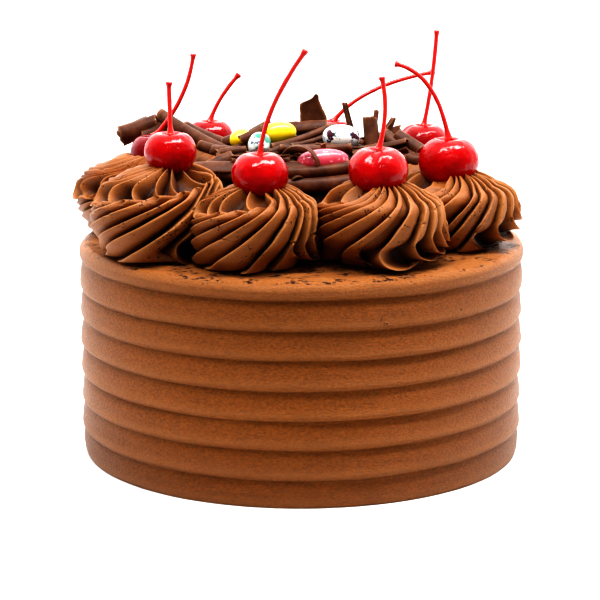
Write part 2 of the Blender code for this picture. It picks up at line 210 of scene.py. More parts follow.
@dataclass(frozen=True)
class Lumps:
    """Smooth unevenness that is the same in every run.

    Attributes:
        seed: picks one pattern.
        size: millimetres from lump to lump.
    """

    seed: int
    size: float

    def at(self, points: Array) -> Array:
        """Reads the unevenness.

        Args:
            points: points in millimetres, with their coordinates last.

        Returns:
            A value from -1 to 1 at each of them.
        """
        cells = np.asarray(points, float) / self.size + 31.7 * self.seed
        low = np.floor(cells).astype(np.int64)
        share = cells - low
        share = share * share * (3 - 2 * share)
        total = np.zeros(cells.shape[:-1])
        for corner in product((0, 1), repeat=3):
            offset = np.array(corner)
            weight = np.prod(np.where(offset == 1, share, 1 - share), axis=-1)
            total += weight * self._scatter(low + offset)
        return total

    def _scatter(self, cells: Array) -> Array:
        """Gives each cell its own value.

        Args:
            cells: whole numbers, three to a cell.

        Returns:
            A value from -1 to 1 for each cell.
        """
        # Large odd factors, so that neighbouring cells get unlike values.
        mixed = cells[..., 0] * 73856093 ^ cells[..., 1] * 19349663 ^ cells[..., 2] * 83492791
        mixed = (mixed ^ self.seed * 2654435761) & 0xFFFFFFFF
        mixed = ((mixed ^ mixed >> 15) * 2246822519) & 0xFFFFFFFF
        mixed = ((mixed ^ mixed >> 13) * 3266489917) & 0xFFFFFFFF
        return ((mixed ^ mixed >> 16) & 0xFFFF) / 32767.5 - 1


class MeshHeap:
    """Gathers the points and faces of pieces that share one mesh.

    Marks are named values from 0 to 1 on the points, which a finish reads.
    """

    def __init__(self, mark_names: tuple[str, ...] = ()) -> None:
        """Starts an empty heap.

        Args:
            mark_names: the marks that its pieces carry.
        """
        self.points: list[Array] = []
        self.faces: list[tuple[int, ...]] = []
        self.marks: dict[str, list[Array]] = {name: [] for name in mark_names}
        self.count = 0

    def add_grid(
        self, grid: Array, marks: dict[str, Array], around: bool = True, caps: bool = True
    ) -> None:
        """Adds a grid of points as a skin.

        Args:
            grid: rows by columns by three coordinates, in millimetres.
            marks: each mark's values, rows by columns.
            around: joins the last column to the first.
            caps: closes the first and the last row with a fan round its middle.
        """
        rows, columns = grid.shape[:2]
        index = self.count + np.arange(rows * columns).reshape(rows, columns)
        after = np.roll(index, -1, axis=1)
        here = index if around else index[:, :-1]
        after = after if around else after[:, :-1]
        quads = np.stack([here[:-1], after[:-1], after[1:], here[1:]], axis=-1).reshape(-1, 4)
        self.faces += [tuple(quad) for quad in quads.tolist()]
        self.points.append(grid.reshape(-1, 3))
        for name, values in self.marks.items():
            values.append(np.broadcast_to(marks.get(name, 0.0), (rows, columns)).reshape(-1))
        self.count += rows * columns
        if caps:
            self._close(index[0][::-1], grid[0].mean(axis=0))
            self._close(index[-1], grid[-1].mean(axis=0))

    def _close(self, ring: Array, middle: Array) -> None:
        """Closes a ring with a fan of triangles.

        Args:
            ring: the ring's points, by number.
            middle: the point that the fan goes round.
        """
        tip = self.count
        self.points.append(middle.reshape(1, 3))
        for values in self.marks.values():
            values.append(np.zeros(1))
        self.count += 1
        ring = ring.tolist()
        self.faces += [(here, after, tip) for here, after in zip(ring, ring[1:] + ring[:1])]

    def to_piece(
        self, name: str, finish: bpy.types.Material, slot: Slot, node: str
    ) -> bpy.types.Object:
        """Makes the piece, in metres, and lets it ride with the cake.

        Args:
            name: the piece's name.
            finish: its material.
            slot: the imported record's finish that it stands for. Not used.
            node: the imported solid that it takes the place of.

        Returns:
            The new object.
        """
        mesh = bpy.data.meshes.new(name)
        mesh.from_pydata((np.concatenate(self.points) * MM).tolist(), [], self.faces)
        for mark, values in self.marks.items():
            attribute = mesh.attributes.new(mark, "FLOAT", "POINT")
            attribute.data.foreach_set("value", np.concatenate(values).astype(np.float32))
        mesh.shade_smooth()
        mesh.materials.append(finish)
        piece = bpy.data.objects.new(name, mesh)
        bpy.context.scene.collection.objects.link(piece)
        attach(piece, BODY)
        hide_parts(node)
        return piece


def closed_skin(grid: Array, marks: dict[str, Array] | None = None) -> MeshHeap:
    """Starts a heap with one skin that is closed round and at both ends.

    Args:
        grid: rows by columns by three coordinates, in millimetres.
        marks: each mark's values, rows by columns.

    Returns:
        The heap.
    """
    heap = MeshHeap(tuple(marks or {}))
    heap.add_grid(grid, marks or {})
    return heap


@dataclass(frozen=True)
class Buttercream:
    """Whipped chocolate buttercream, spread or piped: matt, a little waxy, with air bubbles.

    Light enters it a short way. A painted highlight of lighter tan lies on its thin edges, and
    painted shade in its folds and pits.

    Attributes:
        name: the material's name.
        body: its colour in the open.
        warm: the warmer brown of its drier patches.
        painted_shade: the colour of the painted shade deep in its folds and grooves.
        rim: the colour of the painted highlight on a thin edge.
        pit: the colour of the painted shade in a pit or a burst bubble.
        patch: millimetres from one warmer patch to the next.
        grain: millimetres between the cocoa grains. The real ones, of a fifth of that, are
            too fine to show.
        drag: how many times as wide as high the grains are drawn by the comb.
        roughness: how strongly the grain stands out, from 0 to 1.
        gloss: the shader's roughness, which sets how wide the shine spreads.
        shine: how much light its fat reflects, from 0 to 1.
        bubble: millimetres between burst bubbles.
        bubble_share: how much of the surface has bubbles, from 0 to 1.
        cluster: millimetres from one cluster of bubbles or pits to the next.
        pit_depth: how deep a pit is, where the grain's relief is 1.
        pitted_above: the height in millimetres above which dragged pits open it up, if any.
        film: how much of it a thin film of fat covers, from 0 to 1.
    """

    name: str
    body: str
    warm: str
    painted_shade: str = "301004"
    rim: str = "A87242"
    pit: str = "2E1206"
    patch: float = 14.0
    grain: float = 0.7
    drag: float = 1.0
    roughness: float = 0.45
    gloss: float = 0.42
    shine: float = 0.36
    bubble: float = 1.4
    bubble_share: float = 0.72
    cluster: float = 9.0
    pit_depth: float = 1.4
    pitted_above: float | None = None
    film: float = 0.0

    def material(self) -> bpy.types.Material:
        """Makes the material.

        Returns:
            The new material.
        """
        finish, tree, shader = start_finish(self.name)
        place = add_node(tree, "ShaderNodeTexCoord").outputs["Object"]
        patches = add_node(tree, "ShaderNodeTexNoise", inputs={
            "Vector": place, "Scale": 1 / (self.patch * MM), "Detail": 3.0, "Roughness": 0.55})
        dragged_place = add_node(tree, "ShaderNodeVectorMath", {"operation": "MULTIPLY"}, {
            0: place, 1: (1.0, 1.0, self.drag)})
        grain = add_node(tree, "ShaderNodeTexNoise", inputs={
            "Vector": dragged_place.outputs[0], "Scale": 1 / (self.grain * MM), "Detail": 3.0,
            "Roughness": 0.75})
        colour = add_node(tree, "ShaderNodeMix", OF_COLOURS, {
            MIX_SHARE: patches.outputs["Fac"],
            MIX_A: linear(self.body), MIX_B: linear(self.warm)})
        speckle = add_node(tree, "ShaderNodeMapRange", inputs={
            "Value": grain.outputs["Fac"], "From Min": 0.35, "From Max": 0.7,
            "To Min": 1 - 0.3 * self.roughness, "To Max": 1 + 0.4 * self.roughness})
        grained = add_node(tree, "ShaderNodeVectorMath", {"operation": "SCALE"}, {
            0: colour.outputs[MIX_OUT], "Scale": speckle.outputs["Result"]})
        # Painted shade from the mesh: in folds, grooves and tucked-in rows, and near the board.
        painted_shade = add_node(tree, "ShaderNodeAttribute", {"attribute_name": "painted_shade"})
        with_painted_shade = add_node(tree, "ShaderNodeMix", OF_COLOURS, {
            MIX_SHARE: painted_shade.outputs["Fac"], MIX_A: grained.outputs[0], MIX_B: linear(self.painted_shade)})
        # Painted highlight from the mesh: on thin crests, on the drum's bands and over its top.
        rim = add_node(tree, "ShaderNodeAttribute", {"attribute_name": "rim"})
        edged = add_node(tree, "ShaderNodeMix", OF_COLOURS, {
            MIX_SHARE: rim.outputs["Fac"],
            MIX_A: with_painted_shade.outputs[MIX_OUT], MIX_B: linear(self.rim)})
        pits = self._pits(
            tree, place, spacing=self.bubble, threshold=0.67 - 0.3 * self.bubble_share,
            squeeze=(1.0, 1.0, 1.0), largest=0.62)
        if self.pitted_above is not None:
            height = add_node(tree, "ShaderNodeSeparateXYZ", inputs={"Vector": place}).outputs["Z"]
            on_top = add_node(tree, "ShaderNodeMath", {"operation": "GREATER_THAN"}, {
                0: height, 1: self.pitted_above * MM})
            drawn_out = self._pits(
                tree, place, spacing=1.4, threshold=0.39, squeeze=(0.55, 1.2, 1.0), largest=0.95)
            dragged = add_node(tree, "ShaderNodeMath", {"operation": "MULTIPLY"}, {
                0: on_top.outputs[0], 1: drawn_out})
            pits = add_node(tree, "ShaderNodeMath", {"operation": "MAXIMUM"}, {
                0: pits, 1: dragged.outputs[0]}).outputs[0]
        # Painted shade in the pits and burst bubbles, which the bump also sinks.
        pitted = add_node(tree, "ShaderNodeMix", OF_COLOURS, {
            MIX_SHARE: pits, MIX_A: edged.outputs[MIX_OUT], MIX_B: linear(self.pit)})
        hollow = add_node(tree, "ShaderNodeMath", {"operation": "MULTIPLY"}, {
            0: pits, 1: -self.pit_depth})
        relief = add_node(tree, "ShaderNodeMath", {"operation": "ADD"}, {
            0: hollow.outputs[0], 1: grain.outputs["Fac"]})
        bump = add_node(tree, "ShaderNodeBump", inputs={
            "Strength": self.roughness, "Distance": 0.8 * self.grain * MM,
            "Height": relief.outputs[0]})
        fill_inputs(tree, shader, {
            "Base Color": pitted.outputs[MIX_OUT],
            "Normal": bump.outputs["Normal"],
            "Roughness": self.gloss,
            "IOR": 1.45,
            "Specular IOR Level": self.shine,
            "Subsurface Weight": 0.12,
            "Subsurface Radius": (2.0, 0.8, 0.4),
            "Subsurface Scale": 0.8 * MM,
            "Coat Weight": self.film,
            "Coat Roughness": 0.2,
            "Coat IOR": 1.33,
            "Sheen Weight": 0.06,
            "Sheen Roughness": 0.35,
        })
        return finish

    def _pits(
        self,
        tree: bpy.types.NodeTree,
        place: bpy.types.NodeSocket,
        spacing: float,
        threshold: float,
        squeeze: Point,
        largest: float,
    ) -> bpy.types.NodeSocket:
        """Adds small dark pits in loose clusters.

        Args:
            tree: the material's node tree.
            place: where the surface point is.
            spacing: millimetres from pit to pit in a cluster.
            threshold: how rare the clusters are, from 0 to 1.
            squeeze: how much the pattern is shortened each way. Below 1 draws the pits out.
            largest: the largest pits' radius, as a share of the spacing.

        Returns:
            A socket that is 1 in a pit and 0 elsewhere.
        """
        squeezed = add_node(tree, "ShaderNodeVectorMath", {"operation": "MULTIPLY"}, {
            0: place, 1: squeeze})
        ragged = add_node(tree, "ShaderNodeTexNoise", inputs={
            "Vector": place, "Scale": 1 / (0.5 * spacing * MM), "Detail": 1.0})
        cells = add_node(tree, "ShaderNodeTexVoronoi", inputs={
            "Vector": squeezed.outputs[0], "Scale": 1 / (spacing * MM), "Randomness": 1.0})
        clusters = add_node(tree, "ShaderNodeTexNoise", inputs={
            "Vector": place, "Scale": 1 / (self.cluster * MM), "Detail": 1.0})
        size = add_node(tree, "ShaderNodeMapRange", inputs={
            "Value": clusters.outputs["Fac"], "From Min": threshold, "From Max": threshold + 0.2,
            "To Min": 0.0, "To Max": largest})
        rough_size = add_node(tree, "ShaderNodeMath", {"operation": "MULTIPLY"}, {
            0: size.outputs["Result"], 1: ragged.outputs["Fac"]})
        dot = add_node(tree, "ShaderNodeMath", {"operation": "SUBTRACT"}, {
            0: rough_size.outputs[0], 1: cells.outputs["Distance"]})
        sharp = add_node(tree, "ShaderNodeMapRange", inputs={
            "Value": dot.outputs[0], "From Min": 0.0, "From Max": 0.05})
        return sharp.outputs["Result"]


@dataclass(frozen=True)
class CherryGlaze:
    """Cocktail cherry in syrup: deep clear red flesh under a wet skin with sharp highlights.

    Attributes:
        name: the material's name.
        skin: the red near the skin.
        depth: the darker red of the flesh behind it.
        cloud: millimetres from one darker cloud in the flesh to the next.
        wrinkle: millimetres from wrinkle to wrinkle of the soaked skin.
        relief: how deep the wrinkles are, in millimetres.
    """

    name: str
    skin: str = "C60008"
    depth: str = "8E0006"
    cloud: float = 7.0
    wrinkle: float = 4.0
    relief: float = 0.9

    def material(self) -> bpy.types.Material:
        """Makes the material.

        Returns:
            The new material.
        """
        finish, tree, shader = start_finish(self.name)
        place = add_node(tree, "ShaderNodeTexCoord").outputs["Object"]
        flesh = add_node(tree, "ShaderNodeTexNoise", inputs={
            "Vector": place, "Scale": 1 / (self.cloud * MM), "Detail": 2.0})
        colour = add_node(tree, "ShaderNodeMix", OF_COLOURS, {
            MIX_SHARE: flesh.outputs["Fac"],
            MIX_A: linear(self.skin), MIX_B: linear(self.depth)})
        wrinkle = add_node(tree, "ShaderNodeTexNoise", inputs={
            "Vector": place, "Scale": 1 / (self.wrinkle * MM), "Detail": 1.5})
        bump = add_node(tree, "ShaderNodeBump", inputs={
            "Strength": 0.6, "Distance": self.relief * MM, "Height": wrinkle.outputs["Fac"]})
        fill_inputs(tree, shader, {
            "Base Color": colour.outputs[MIX_OUT],
            "Normal": bump.outputs["Normal"],
            "Coat Normal": bump.outputs["Normal"],
            "Roughness": 0.25,
            "IOR": 1.42,
            "Subsurface Weight": 0.2,
            "Subsurface Radius": (3.0, 0.4, 0.3),
            "Subsurface Scale": 1.2 * MM,
            "Specular IOR Level": 0.15,
            "Coat Weight": 0.5,
            "Coat Roughness": 0.02,
            "Coat IOR": 1.45,
        })
        return finish


@dataclass(frozen=True)
class StemSkin:
    """Dyed cherry stem: thin fibrous skin with a wet satin shine, orange where light goes through.

    Attributes:
        name: the material's name.
        skin: the dye where the skin is thick.
        warm: the dye where light goes through it.
        fibre: millimetres between fibre bundles. Single fibres are too fine to show.
    """

    name: str = "dyed_cherry_stem"
    skin: str = "C00A08"
    warm: str = "DA200A"
    fibre: float = 1.6

    def material(self) -> bpy.types.Material:
        """Makes the material.

        Returns:
            The new material.
        """
        finish, tree, shader = start_finish(self.name)
        place = add_node(tree, "ShaderNodeTexCoord").outputs["Object"]
        fibre = add_node(tree, "ShaderNodeTexNoise", inputs={
            "Vector": place, "Scale": 1 / (self.fibre * MM), "Detail": 2.0})
        colour = add_node(tree, "ShaderNodeMix", OF_COLOURS, {
            MIX_SHARE: fibre.outputs["Fac"],
            MIX_A: linear(self.skin), MIX_B: linear(self.warm)})
        bump = add_node(tree, "ShaderNodeBump", inputs={
            "Strength": 0.3, "Distance": 0.15 * MM, "Height": fibre.outputs["Fac"]})
        fill_inputs(tree, shader, {
            "Base Color": colour.outputs[MIX_OUT],
            "Normal": bump.outputs["Normal"],
            "Roughness": 0.3,
            "Subsurface Weight": 0.15,
            "Subsurface Radius": (2.0, 0.4, 0.2),
            "Subsurface Scale": 0.6 * MM,
            "Coat Weight": 0.6,
            "Coat Roughness": 0.12,
        })
        return finish


@dataclass(frozen=True)
class DarkChocolate:
    """Shaved dark chocolate: satin where the blade cut it, paler and crumbly along thin edges.

    Attributes:
        name: the material's name.
        body: its colour on a fresh cut.
        bloom: its colour in dusty patches.
        edge: its colour along a thin edge.
        patch: millimetres from one dusty patch to the next.
        grain: millimetres between the blade's marks.
    """

    name: str = "shaved_dark_chocolate"
    body: str = "4E2E1E"
    bloom: str = "704630"
    edge: str = "865A3C"
    patch: float = 6.0
    grain: float = 0.9

    def material(self) -> bpy.types.Material:
        """Makes the material.

        Returns:
            The new material.
        """
        finish, tree, shader = start_finish(self.name)
        place = add_node(tree, "ShaderNodeTexCoord").outputs["Object"]
        bloom = add_node(tree, "ShaderNodeTexNoise", inputs={
            "Vector": place, "Scale": 1 / (self.patch * MM), "Detail": 4.0, "Roughness": 0.6})
        patch = add_node(tree, "ShaderNodeMapRange", inputs={
            "Value": bloom.outputs["Fac"], "From Min": 0.4, "From Max": 0.72})
        colour = add_node(tree, "ShaderNodeMix", OF_COLOURS, {
            MIX_SHARE: patch.outputs["Result"],
            MIX_A: linear(self.body), MIX_B: linear(self.bloom)})
        edge = add_node(tree, "ShaderNodeAttribute", {"attribute_name": "edge"})
        edged = add_node(tree, "ShaderNodeMix", OF_COLOURS, {
            MIX_SHARE: edge.outputs["Fac"],
            MIX_A: colour.outputs[MIX_OUT], MIX_B: linear(self.edge)})
        grain = add_node(tree, "ShaderNodeTexNoise", inputs={
            "Vector": place, "Scale": 1 / (self.grain * MM), "Detail": 4.0, "Roughness": 0.7})
        bump = add_node(tree, "ShaderNodeBump", inputs={
            "Strength": 0.5, "Distance": 0.2 * MM, "Height": grain.outputs["Fac"]})
        fill_inputs(tree, shader, {
            "Base Color": edged.outputs[MIX_OUT],
            "Normal": bump.outputs["Normal"],
            "Roughness": 0.42,
            "IOR": 1.45,
            "Specular IOR Level": 0.25,
        })
        return finish


@dataclass(frozen=True)
class SugarShell:
    """Polished sugar shell of a chocolate pebble, with hand-spattered specks.

    Attributes:
        name: the material's name.
        body: the shell's colour.
        shade: a second colour in soft patches.
        specks: the spatter, as colours with the size of their specks and how rare they are.
        patch: millimetres from one patch to the next.
    """

    name: str
    body: str
    shade: str
    specks: tuple[tuple[str, float, float], ...] = ()
    patch: float = 9.0

    def material(self) -> bpy.types.Material:
        """Makes the material.

        Returns:
            The new material.
        """
        finish, tree, shader = start_finish(self.name)
        place = add_node(tree, "ShaderNodeTexCoord").outputs["Object"]
        patches = add_node(tree, "ShaderNodeTexNoise", inputs={
            "Vector": place, "Scale": 1 / (self.patch * MM), "Detail": 2.0})
        share = add_node(tree, "ShaderNodeMapRange", inputs={
            "Value": patches.outputs["Fac"], "From Min": 0.46, "From Max": 0.56})
        colour = add_node(tree, "ShaderNodeMix", OF_COLOURS, {
            MIX_SHARE: share.outputs["Result"],
            MIX_A: linear(self.body), MIX_B: linear(self.shade)})
        for turn, (speck, speck_size, rarity) in enumerate(self.specks):
            moved = add_node(tree, "ShaderNodeVectorMath", {"operation": "ADD"}, {
                0: place, 1: (0.011 * turn, 0.007 * turn, 0.005)})
            spatter = add_node(tree, "ShaderNodeTexNoise", inputs={
                "Vector": moved.outputs[0], "Scale": 1 / (speck_size * MM), "Detail": 2.0})
            mask = add_node(tree, "ShaderNodeMapRange", inputs={
                "Value": spatter.outputs["Fac"], "From Min": rarity, "From Max": rarity + 0.04})
            colour = add_node(tree, "ShaderNodeMix", OF_COLOURS, {
                MIX_SHARE: mask.outputs["Result"],
                MIX_A: colour.outputs[MIX_OUT], MIX_B: linear(speck)})
        bump = add_node(tree, "ShaderNodeBump", inputs={
            "Strength": 0.3, "Distance": 0.2 * MM, "Height": patches.outputs["Fac"]})
        fill_inputs(tree, shader, {
            "Base Color": colour.outputs[MIX_OUT],
            "Normal": bump.outputs["Normal"],
            "Roughness": 0.34,
            "Coat Weight": 0.5,
            "Coat Roughness": 0.15,
        })
        return finish


@dataclass(frozen=True)
class PaperSweep:
    """Uncoated white paper, rolled out under the cake: matt, so it shows no highlight.

    Attributes:
        name: the material's name.
        body: the paper's colour.
    """

    name: str = "white_paper_sweep"
    body: str = "E6E6E6"

    def material(self) -> bpy.types.Material:
        """Makes the material.

        Returns:
            The new material.
        """
        finish, tree, shader = start_finish(self.name)
        fill_inputs(tree, shader, {"Base Color": linear(self.body), "Roughness": 0.9})
        return finish


@dataclass
class IcedDrum:
    """The cake itself: comb-ribbed icing round the side and spread icing on top.

    Attributes:
        radius: to the fullest line of the bands.
        height: from the board to the iced top.
        groove_depth: how deep the comb's grooves are.
        groove_pitch: from groove to groove.
        lowest_groove: its height.
        groove_count: how many there are.
        base_inset: how far the foot is drawn in.
        edge_radius: how far the rounded top edge reaches in.
        edge_height: how far it reaches down.
        edge_rows: points over the rounded edge.
        columns: points round it.
    """

    radius: float = 100.0
    height: float = 97.0
    groove_depth: float = 1.8
    groove_pitch: float = 12.75
    lowest_groove: float = 12.0
    groove_count: int = 7
    base_inset: float = 1.6
    edge_radius: float = 4.4
    edge_height: float = 4.0
    edge_rows: int = 9
    columns: int = 360
    # Shares of one band between two grooves: how high its rounded underside and the crease below
    # it reach, where it is fullest, and how high the ledge under the next groove is.
    lip_share: float = 0.2
    crease_share: float = 0.12
    fullest_share: float = 0.2
    ledge_share: float = 0.36
    # Rows beside each groove, from its deepest line, and the height between rows elsewhere.
    groove_rows: tuple[float, ...] = (
        -1.5, -1.1, -0.9, -0.7, -0.5, -0.35, -0.2, -0.1, 0.0, 0.04, 0.12, 0.25, 0.45, 0.7, 1.0,
        1.4, 1.9, 2.5, 3.2)
    row_pitch: float = 1.0
    row_gap: float = 0.45
    # Rows across the top, close together where it shows: the first and the last as shares of the
    # way out, and how many there are.
    top_rows: tuple[tuple[float, float, int], ...] = ((0.985, 0.5, 44), (0.46, 0.04, 10))
    # The ring on which the side's lumps are read, and the one of its streaks, as a radius and how
    # much the heights are stretched. A ring smaller than the drum draws them out along the side.
    lump_ring: tuple[float, float] = (40.0, 3.0)
    streak_ring: tuple[float, float] = (9.0, 2.2)
    # How far the hand strayed: the side's swell, its streaks, its ragged foot and the grooves'
    # slow and quick wander.
    swell: float = 0.25
    streak: float = 0.12
    ragged: float = 0.5
    slow_wander: float = 0.45
    quick_wander: float = 0.22
    # The height below which the grooves' wander fades, and the foot's height as a share of the
    # lowest groove's.
    steady_below: float = 8.0
    foot_share: float = 0.3
    # What the palette knife left on the top: lumps, arcs, grain, and how far down it pressed them.
    knife_lumps: float = 0.5
    knife_arcs: float = 0.32
    knife_grain: float = 0.16
    knife_sink: float = 0.3
    # Strength of the painted shade in the grooves and near the board, and of the painted
    # highlight on the lower part of each band and over the top.
    groove_shade: float = 0.4
    foot_shade: float = 0.26
    foot_shade_height: float = 46.0
    band_highlight: float = 0.3
    top_highlight: float = 0.4

    def side_heights(self) -> Array:
        """Lays out the side's rows.

        Returns:
            Their heights, closer together near each groove.
        """
        grooves = self.lowest_groove + self.groove_pitch * np.arange(self.groove_count)
        near = (grooves[:, None] + np.array(self.groove_rows)).ravel()
        top = self.height - self.edge_height
        between = np.append(np.arange(0.0, top, self.row_pitch), top)
        away = between[np.abs(between[:, None] - near).min(axis=1) > self.row_gap]
        return np.sort(np.concatenate([near, away]))

    def side(self, heights: Array, azimuth: Array) -> tuple[Array, Array, Array, Array]:
        """Works the side out.

        Args:
            heights: rows of heights.
            azimuth: columns of azimuths in radians.

        Returns:
            Radii, levels, the painted shade and the painted highlight, rows by columns.
        """
        ring, streaks = (
            join_points(reach * np.sin(azimuth), reach * np.cos(azimuth), stretch * heights)
            for reach, stretch in (self.lump_ring, self.streak_ring))
        band = (heights - self.lowest_groove) / self.groove_pitch
        share = band % 1.0
        under = np.clip(1 - share / self.lip_share, 0, 1)
        over = np.clip(1 - (1 - share) / self.ledge_share, 0, 1)
        crease = np.clip(1 - share / self.crease_share, 0, 1)
        upper = np.clip((share - self.fullest_share) / (1 - self.fullest_share), 0, 1)
        lip = np.where(band < 0, 0.0, 0.8 * under ** 2 + 0.2 * crease ** 2)
        ledge = 0.5 * over ** 2 * (3 - 2 * over) + 0.5 * upper ** 0.9
        ledge = np.where(band > self.groove_count - 1, 0.0, ledge)
        cut = np.maximum(lip, ledge)
        strength = 1 + 0.25 * Lumps(4, 18.0).at(ring)
        foot = np.exp(-heights / (self.foot_share * self.lowest_groove))
        ragged = self.ragged * foot * np.abs(Lumps(8, 1.1).at(streaks))
        radii = (
            self.radius - self.groove_depth * strength * cut - self.base_inset * foot
            + self.swell * Lumps(5, 16.0).at(ring)
            + self.streak * Lumps(6, 1.3).at(streaks) - ragged
        )
        wander = self.slow_wander * Lumps(3, 30.0).at(ring)
        wander = wander + self.quick_wander * Lumps(14, 9.0).at(ring)
        wander = wander * np.minimum(heights / self.steady_below, 1)
        # Painted shade in each groove's crease and over the lowest bands, near the board.
        shaded = self.foot_shade * (1 - smooth_step(heights, 4.0, self.foot_shade_height))
        painted_shade = np.maximum(self.groove_shade * smooth_step(lip, 0.45, 1.0), shaded)
        # A painted highlight on the lower part of each band, above its rounded underside.
        rim = self.band_highlight * smooth_step(1 - share, 0.45, 0.85) * (1 - lip)
        return radii, heights + wander, painted_shade * np.ones_like(radii), rim * np.ones_like(radii)

    def build(self) -> bpy.types.Object:
        """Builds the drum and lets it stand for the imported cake.

        Returns:
            The new piece.
        """
        azimuth = azimuths(self.columns)
        heights = self.side_heights()[:, None]
        side, levels, painted_shade, rim = self.side(heights, azimuth)
        rows_r, rows_z = [side], [levels]
        shoulder, start = side[-1:], levels[-1:]
        for turn in np.radians(np.linspace(90 / self.edge_rows, 90, self.edge_rows)):
            rows_r.append(shoulder - self.edge_radius * (1 - math.cos(turn)))
            rows_z.append(start + (self.height - start) * math.sin(turn))
        inner = shoulder - self.edge_radius
        for share in np.concatenate([np.linspace(*rows) for rows in self.top_rows]):
            rows_r.append(inner * share)
            rows_z.append(np.full_like(inner, self.height))
        grid = points_round((0.0, 0.0), np.concatenate(rows_r), azimuth, np.concatenate(rows_z))
        grid[..., 2] += self._spread(grid)
        onto = np.zeros((len(grid) - len(painted_shade), self.columns))
        # The rounded edge and the top get no painted shade and an even painted highlight.
        marks = {
            "painted_shade": np.concatenate([painted_shade, onto]),
            "rim": np.concatenate([rim, onto + self.top_highlight]),
        }
        finish = Buttercream(
            "spread_chocolate_buttercream", "834D17", "8F5318", rim="AE7848", grain=1.5, drag=2.2,
            roughness=1.0, shine=0.3, bubble_share=0.15, pitted_above=95.8, film=0.1)
        return closed_skin(grid, marks).to_piece(
            "iced_drum", finish.material(), Slot.ICING, "cake")

    def _spread(self, place: Array) -> Array:
        """Gives the unevenness that the palette knife left on the top and over its edge.

        Args:
            place: points of the level icing.

        Returns:
            How far each of them rises.
        """
        across, deep, levels = np.moveaxis(place, -1, 0)
        onto = smooth_step(levels, self.height - 8, self.height - 0.5)
        distance = np.hypot(across, deep)
        bearing = np.arctan2(across, -deep)
        drag = np.sin(distance * 0.55 + 3 * bearing + 2.5 * Lumps(11, 26.0).at(place))
        rough = self.knife_grain * Lumps(13, 3.0).at(place * (0.6, 1.4, 1.0))
        lumps = self.knife_lumps * Lumps(12, 12.0).at(place)
        return onto * (lumps + self.knife_arcs * drag + rough - self.knife_sink)


@dataclass(frozen=True)
class SwirlPlan:
    """Where one swirl stands on the ring, how big it is and how its coil runs.

    Attributes:
        bearing: where it stands, round the ring.
        distance: how far out it stands, as a share of the ring's half size.
        radius: its radius where it is widest.
        height: from the cake to the contact with the cherry.
        shift: how far its top is off its foot's middle.
        cherry_radius: the cherry's radius.
        cherry_rise: the cherry's middle above the contact.
        crests: azimuths, at half its height, of the crests that show.
        foot: how wide its foot is, as azimuths with a share of the radius.
        coil: where the step between two coils starts and ends, its first height share and how
            it climbs, as a power of the way along.
        flow: how far the crests turn per millimetre of height, how much that swings round the
            swirl and towards which azimuth it is largest.
        fold_back: how far the crests double back at the step.
    """

    bearing: float
    distance: float
    radius: float
    height: float
    shift: tuple[float, float]
    cherry_radius: float
    cherry_rise: float
    crests: tuple[float, ...]
    foot: tuple[tuple[float, float], ...]
    coil: tuple[float, float, float, float]
    flow: tuple[float, float, float]
    fold_back: float = 52.0


SWIRL_PLANS = (
    SwirlPlan(-53, 1.08, 28.5, 39.0, (7.0, 5.5), 11.4, 5.8, (-80, -54, -25, -4, 25, 49, 74),
              ((-120, 0.9), (-67, 0.74), (-19, 0.94), (62, 0.55), (120, 0.7), (180, 0.85)),
              (-25, 480, 0.0, 0.85), (2.9, 1.8, -75), 58),
    SwirlPlan(-14, 1.00, 27.4, 34.0, (2.5, 1.0), 12.1, 5.0, (-78, -50, -25, -2, 21, 41, 58, 74),
              ((-112, 1.05), (-46, 0.88), (-18, 0.97), (15, 0.65), (35, 0.76), (92, 0.68),
               (180, 0.82)),
              (30, 408, 0.2, 1.17), (3.2, 2.7, -110)),
    SwirlPlan(30, 1.03, 28.4, 34.4, (-0.5, 2.0), 12.9, 5.2, (-64, -39, -12, 14, 39, 57, 74, 90),
              ((-95, 0.93), (-70, 0.6), (-45, 0.66), (1, 0.9), (47, 0.7), (102, 0.72), (180, 0.85)),
              (-48, 367, 0.13, 1.2), (2.9, 2.2, -110)),
    SwirlPlan(78, 1.01, 30.0, 32.0, (-1.0, 1.0), 13.4, 5.2, (-52, -35, -22, 0, 11, 27, 48, 70),
              ((-90, 0.8), (-35, 0.6), (-2, 0.9), (10, 0.85), (38, 0.72), (75, 0.8), (180, 0.85)),
              (5, 372, 0.02, 0.65), (1.6, 1.2, -80)),
    SwirlPlan(124, 1.00, 27.5, 32.6, (1.5, 1.0), 12.0, 5.2, (-150,), ((0, 0.8), (180, 0.85)),
              (-100, 328, 0.2, 0.85), (3.0, 2.4, 100)),
    SwirlPlan(166, 1.00, 27.5, 31.5, (1.0, 0.0), 11.6, 5.2, (170,), ((0, 0.8), (180, 0.85)),
              (200, 628, 0.2, 0.85), (3.0, 2.4, 60)),
    SwirlPlan(210, 1.00, 27.5, 33.2, (-5.0, 0.0), 11.0, 4.8, (120,), ((0, 0.8), (180, 0.85)),
              (150, 578, 0.2, 0.85), (3.0, 2.4, 10)),
    SwirlPlan(254, 1.04, 30.5, 35.6, (6.0, 0.0), 11.2, 0.6, (30,), ((0, 0.8), (180, 0.85)),
              (90, 500, 0.2, 1.1), (3.2, 2.4, -80)),
)
RING_CENTRE = np.array((-3.0, -3.0))
RING_HALF_WIDTH = 70.0
RING_HALF_DEPTH = 62.0
CAKE_TOP = 97.0
# The swirls' foot above the level top, whose spread icing rises and falls under them.
SWIRL_FOOT = CAKE_TOP + 0.3
# How high a cherry is, as a share of its width.
CHERRY_SQUASH = 0.85


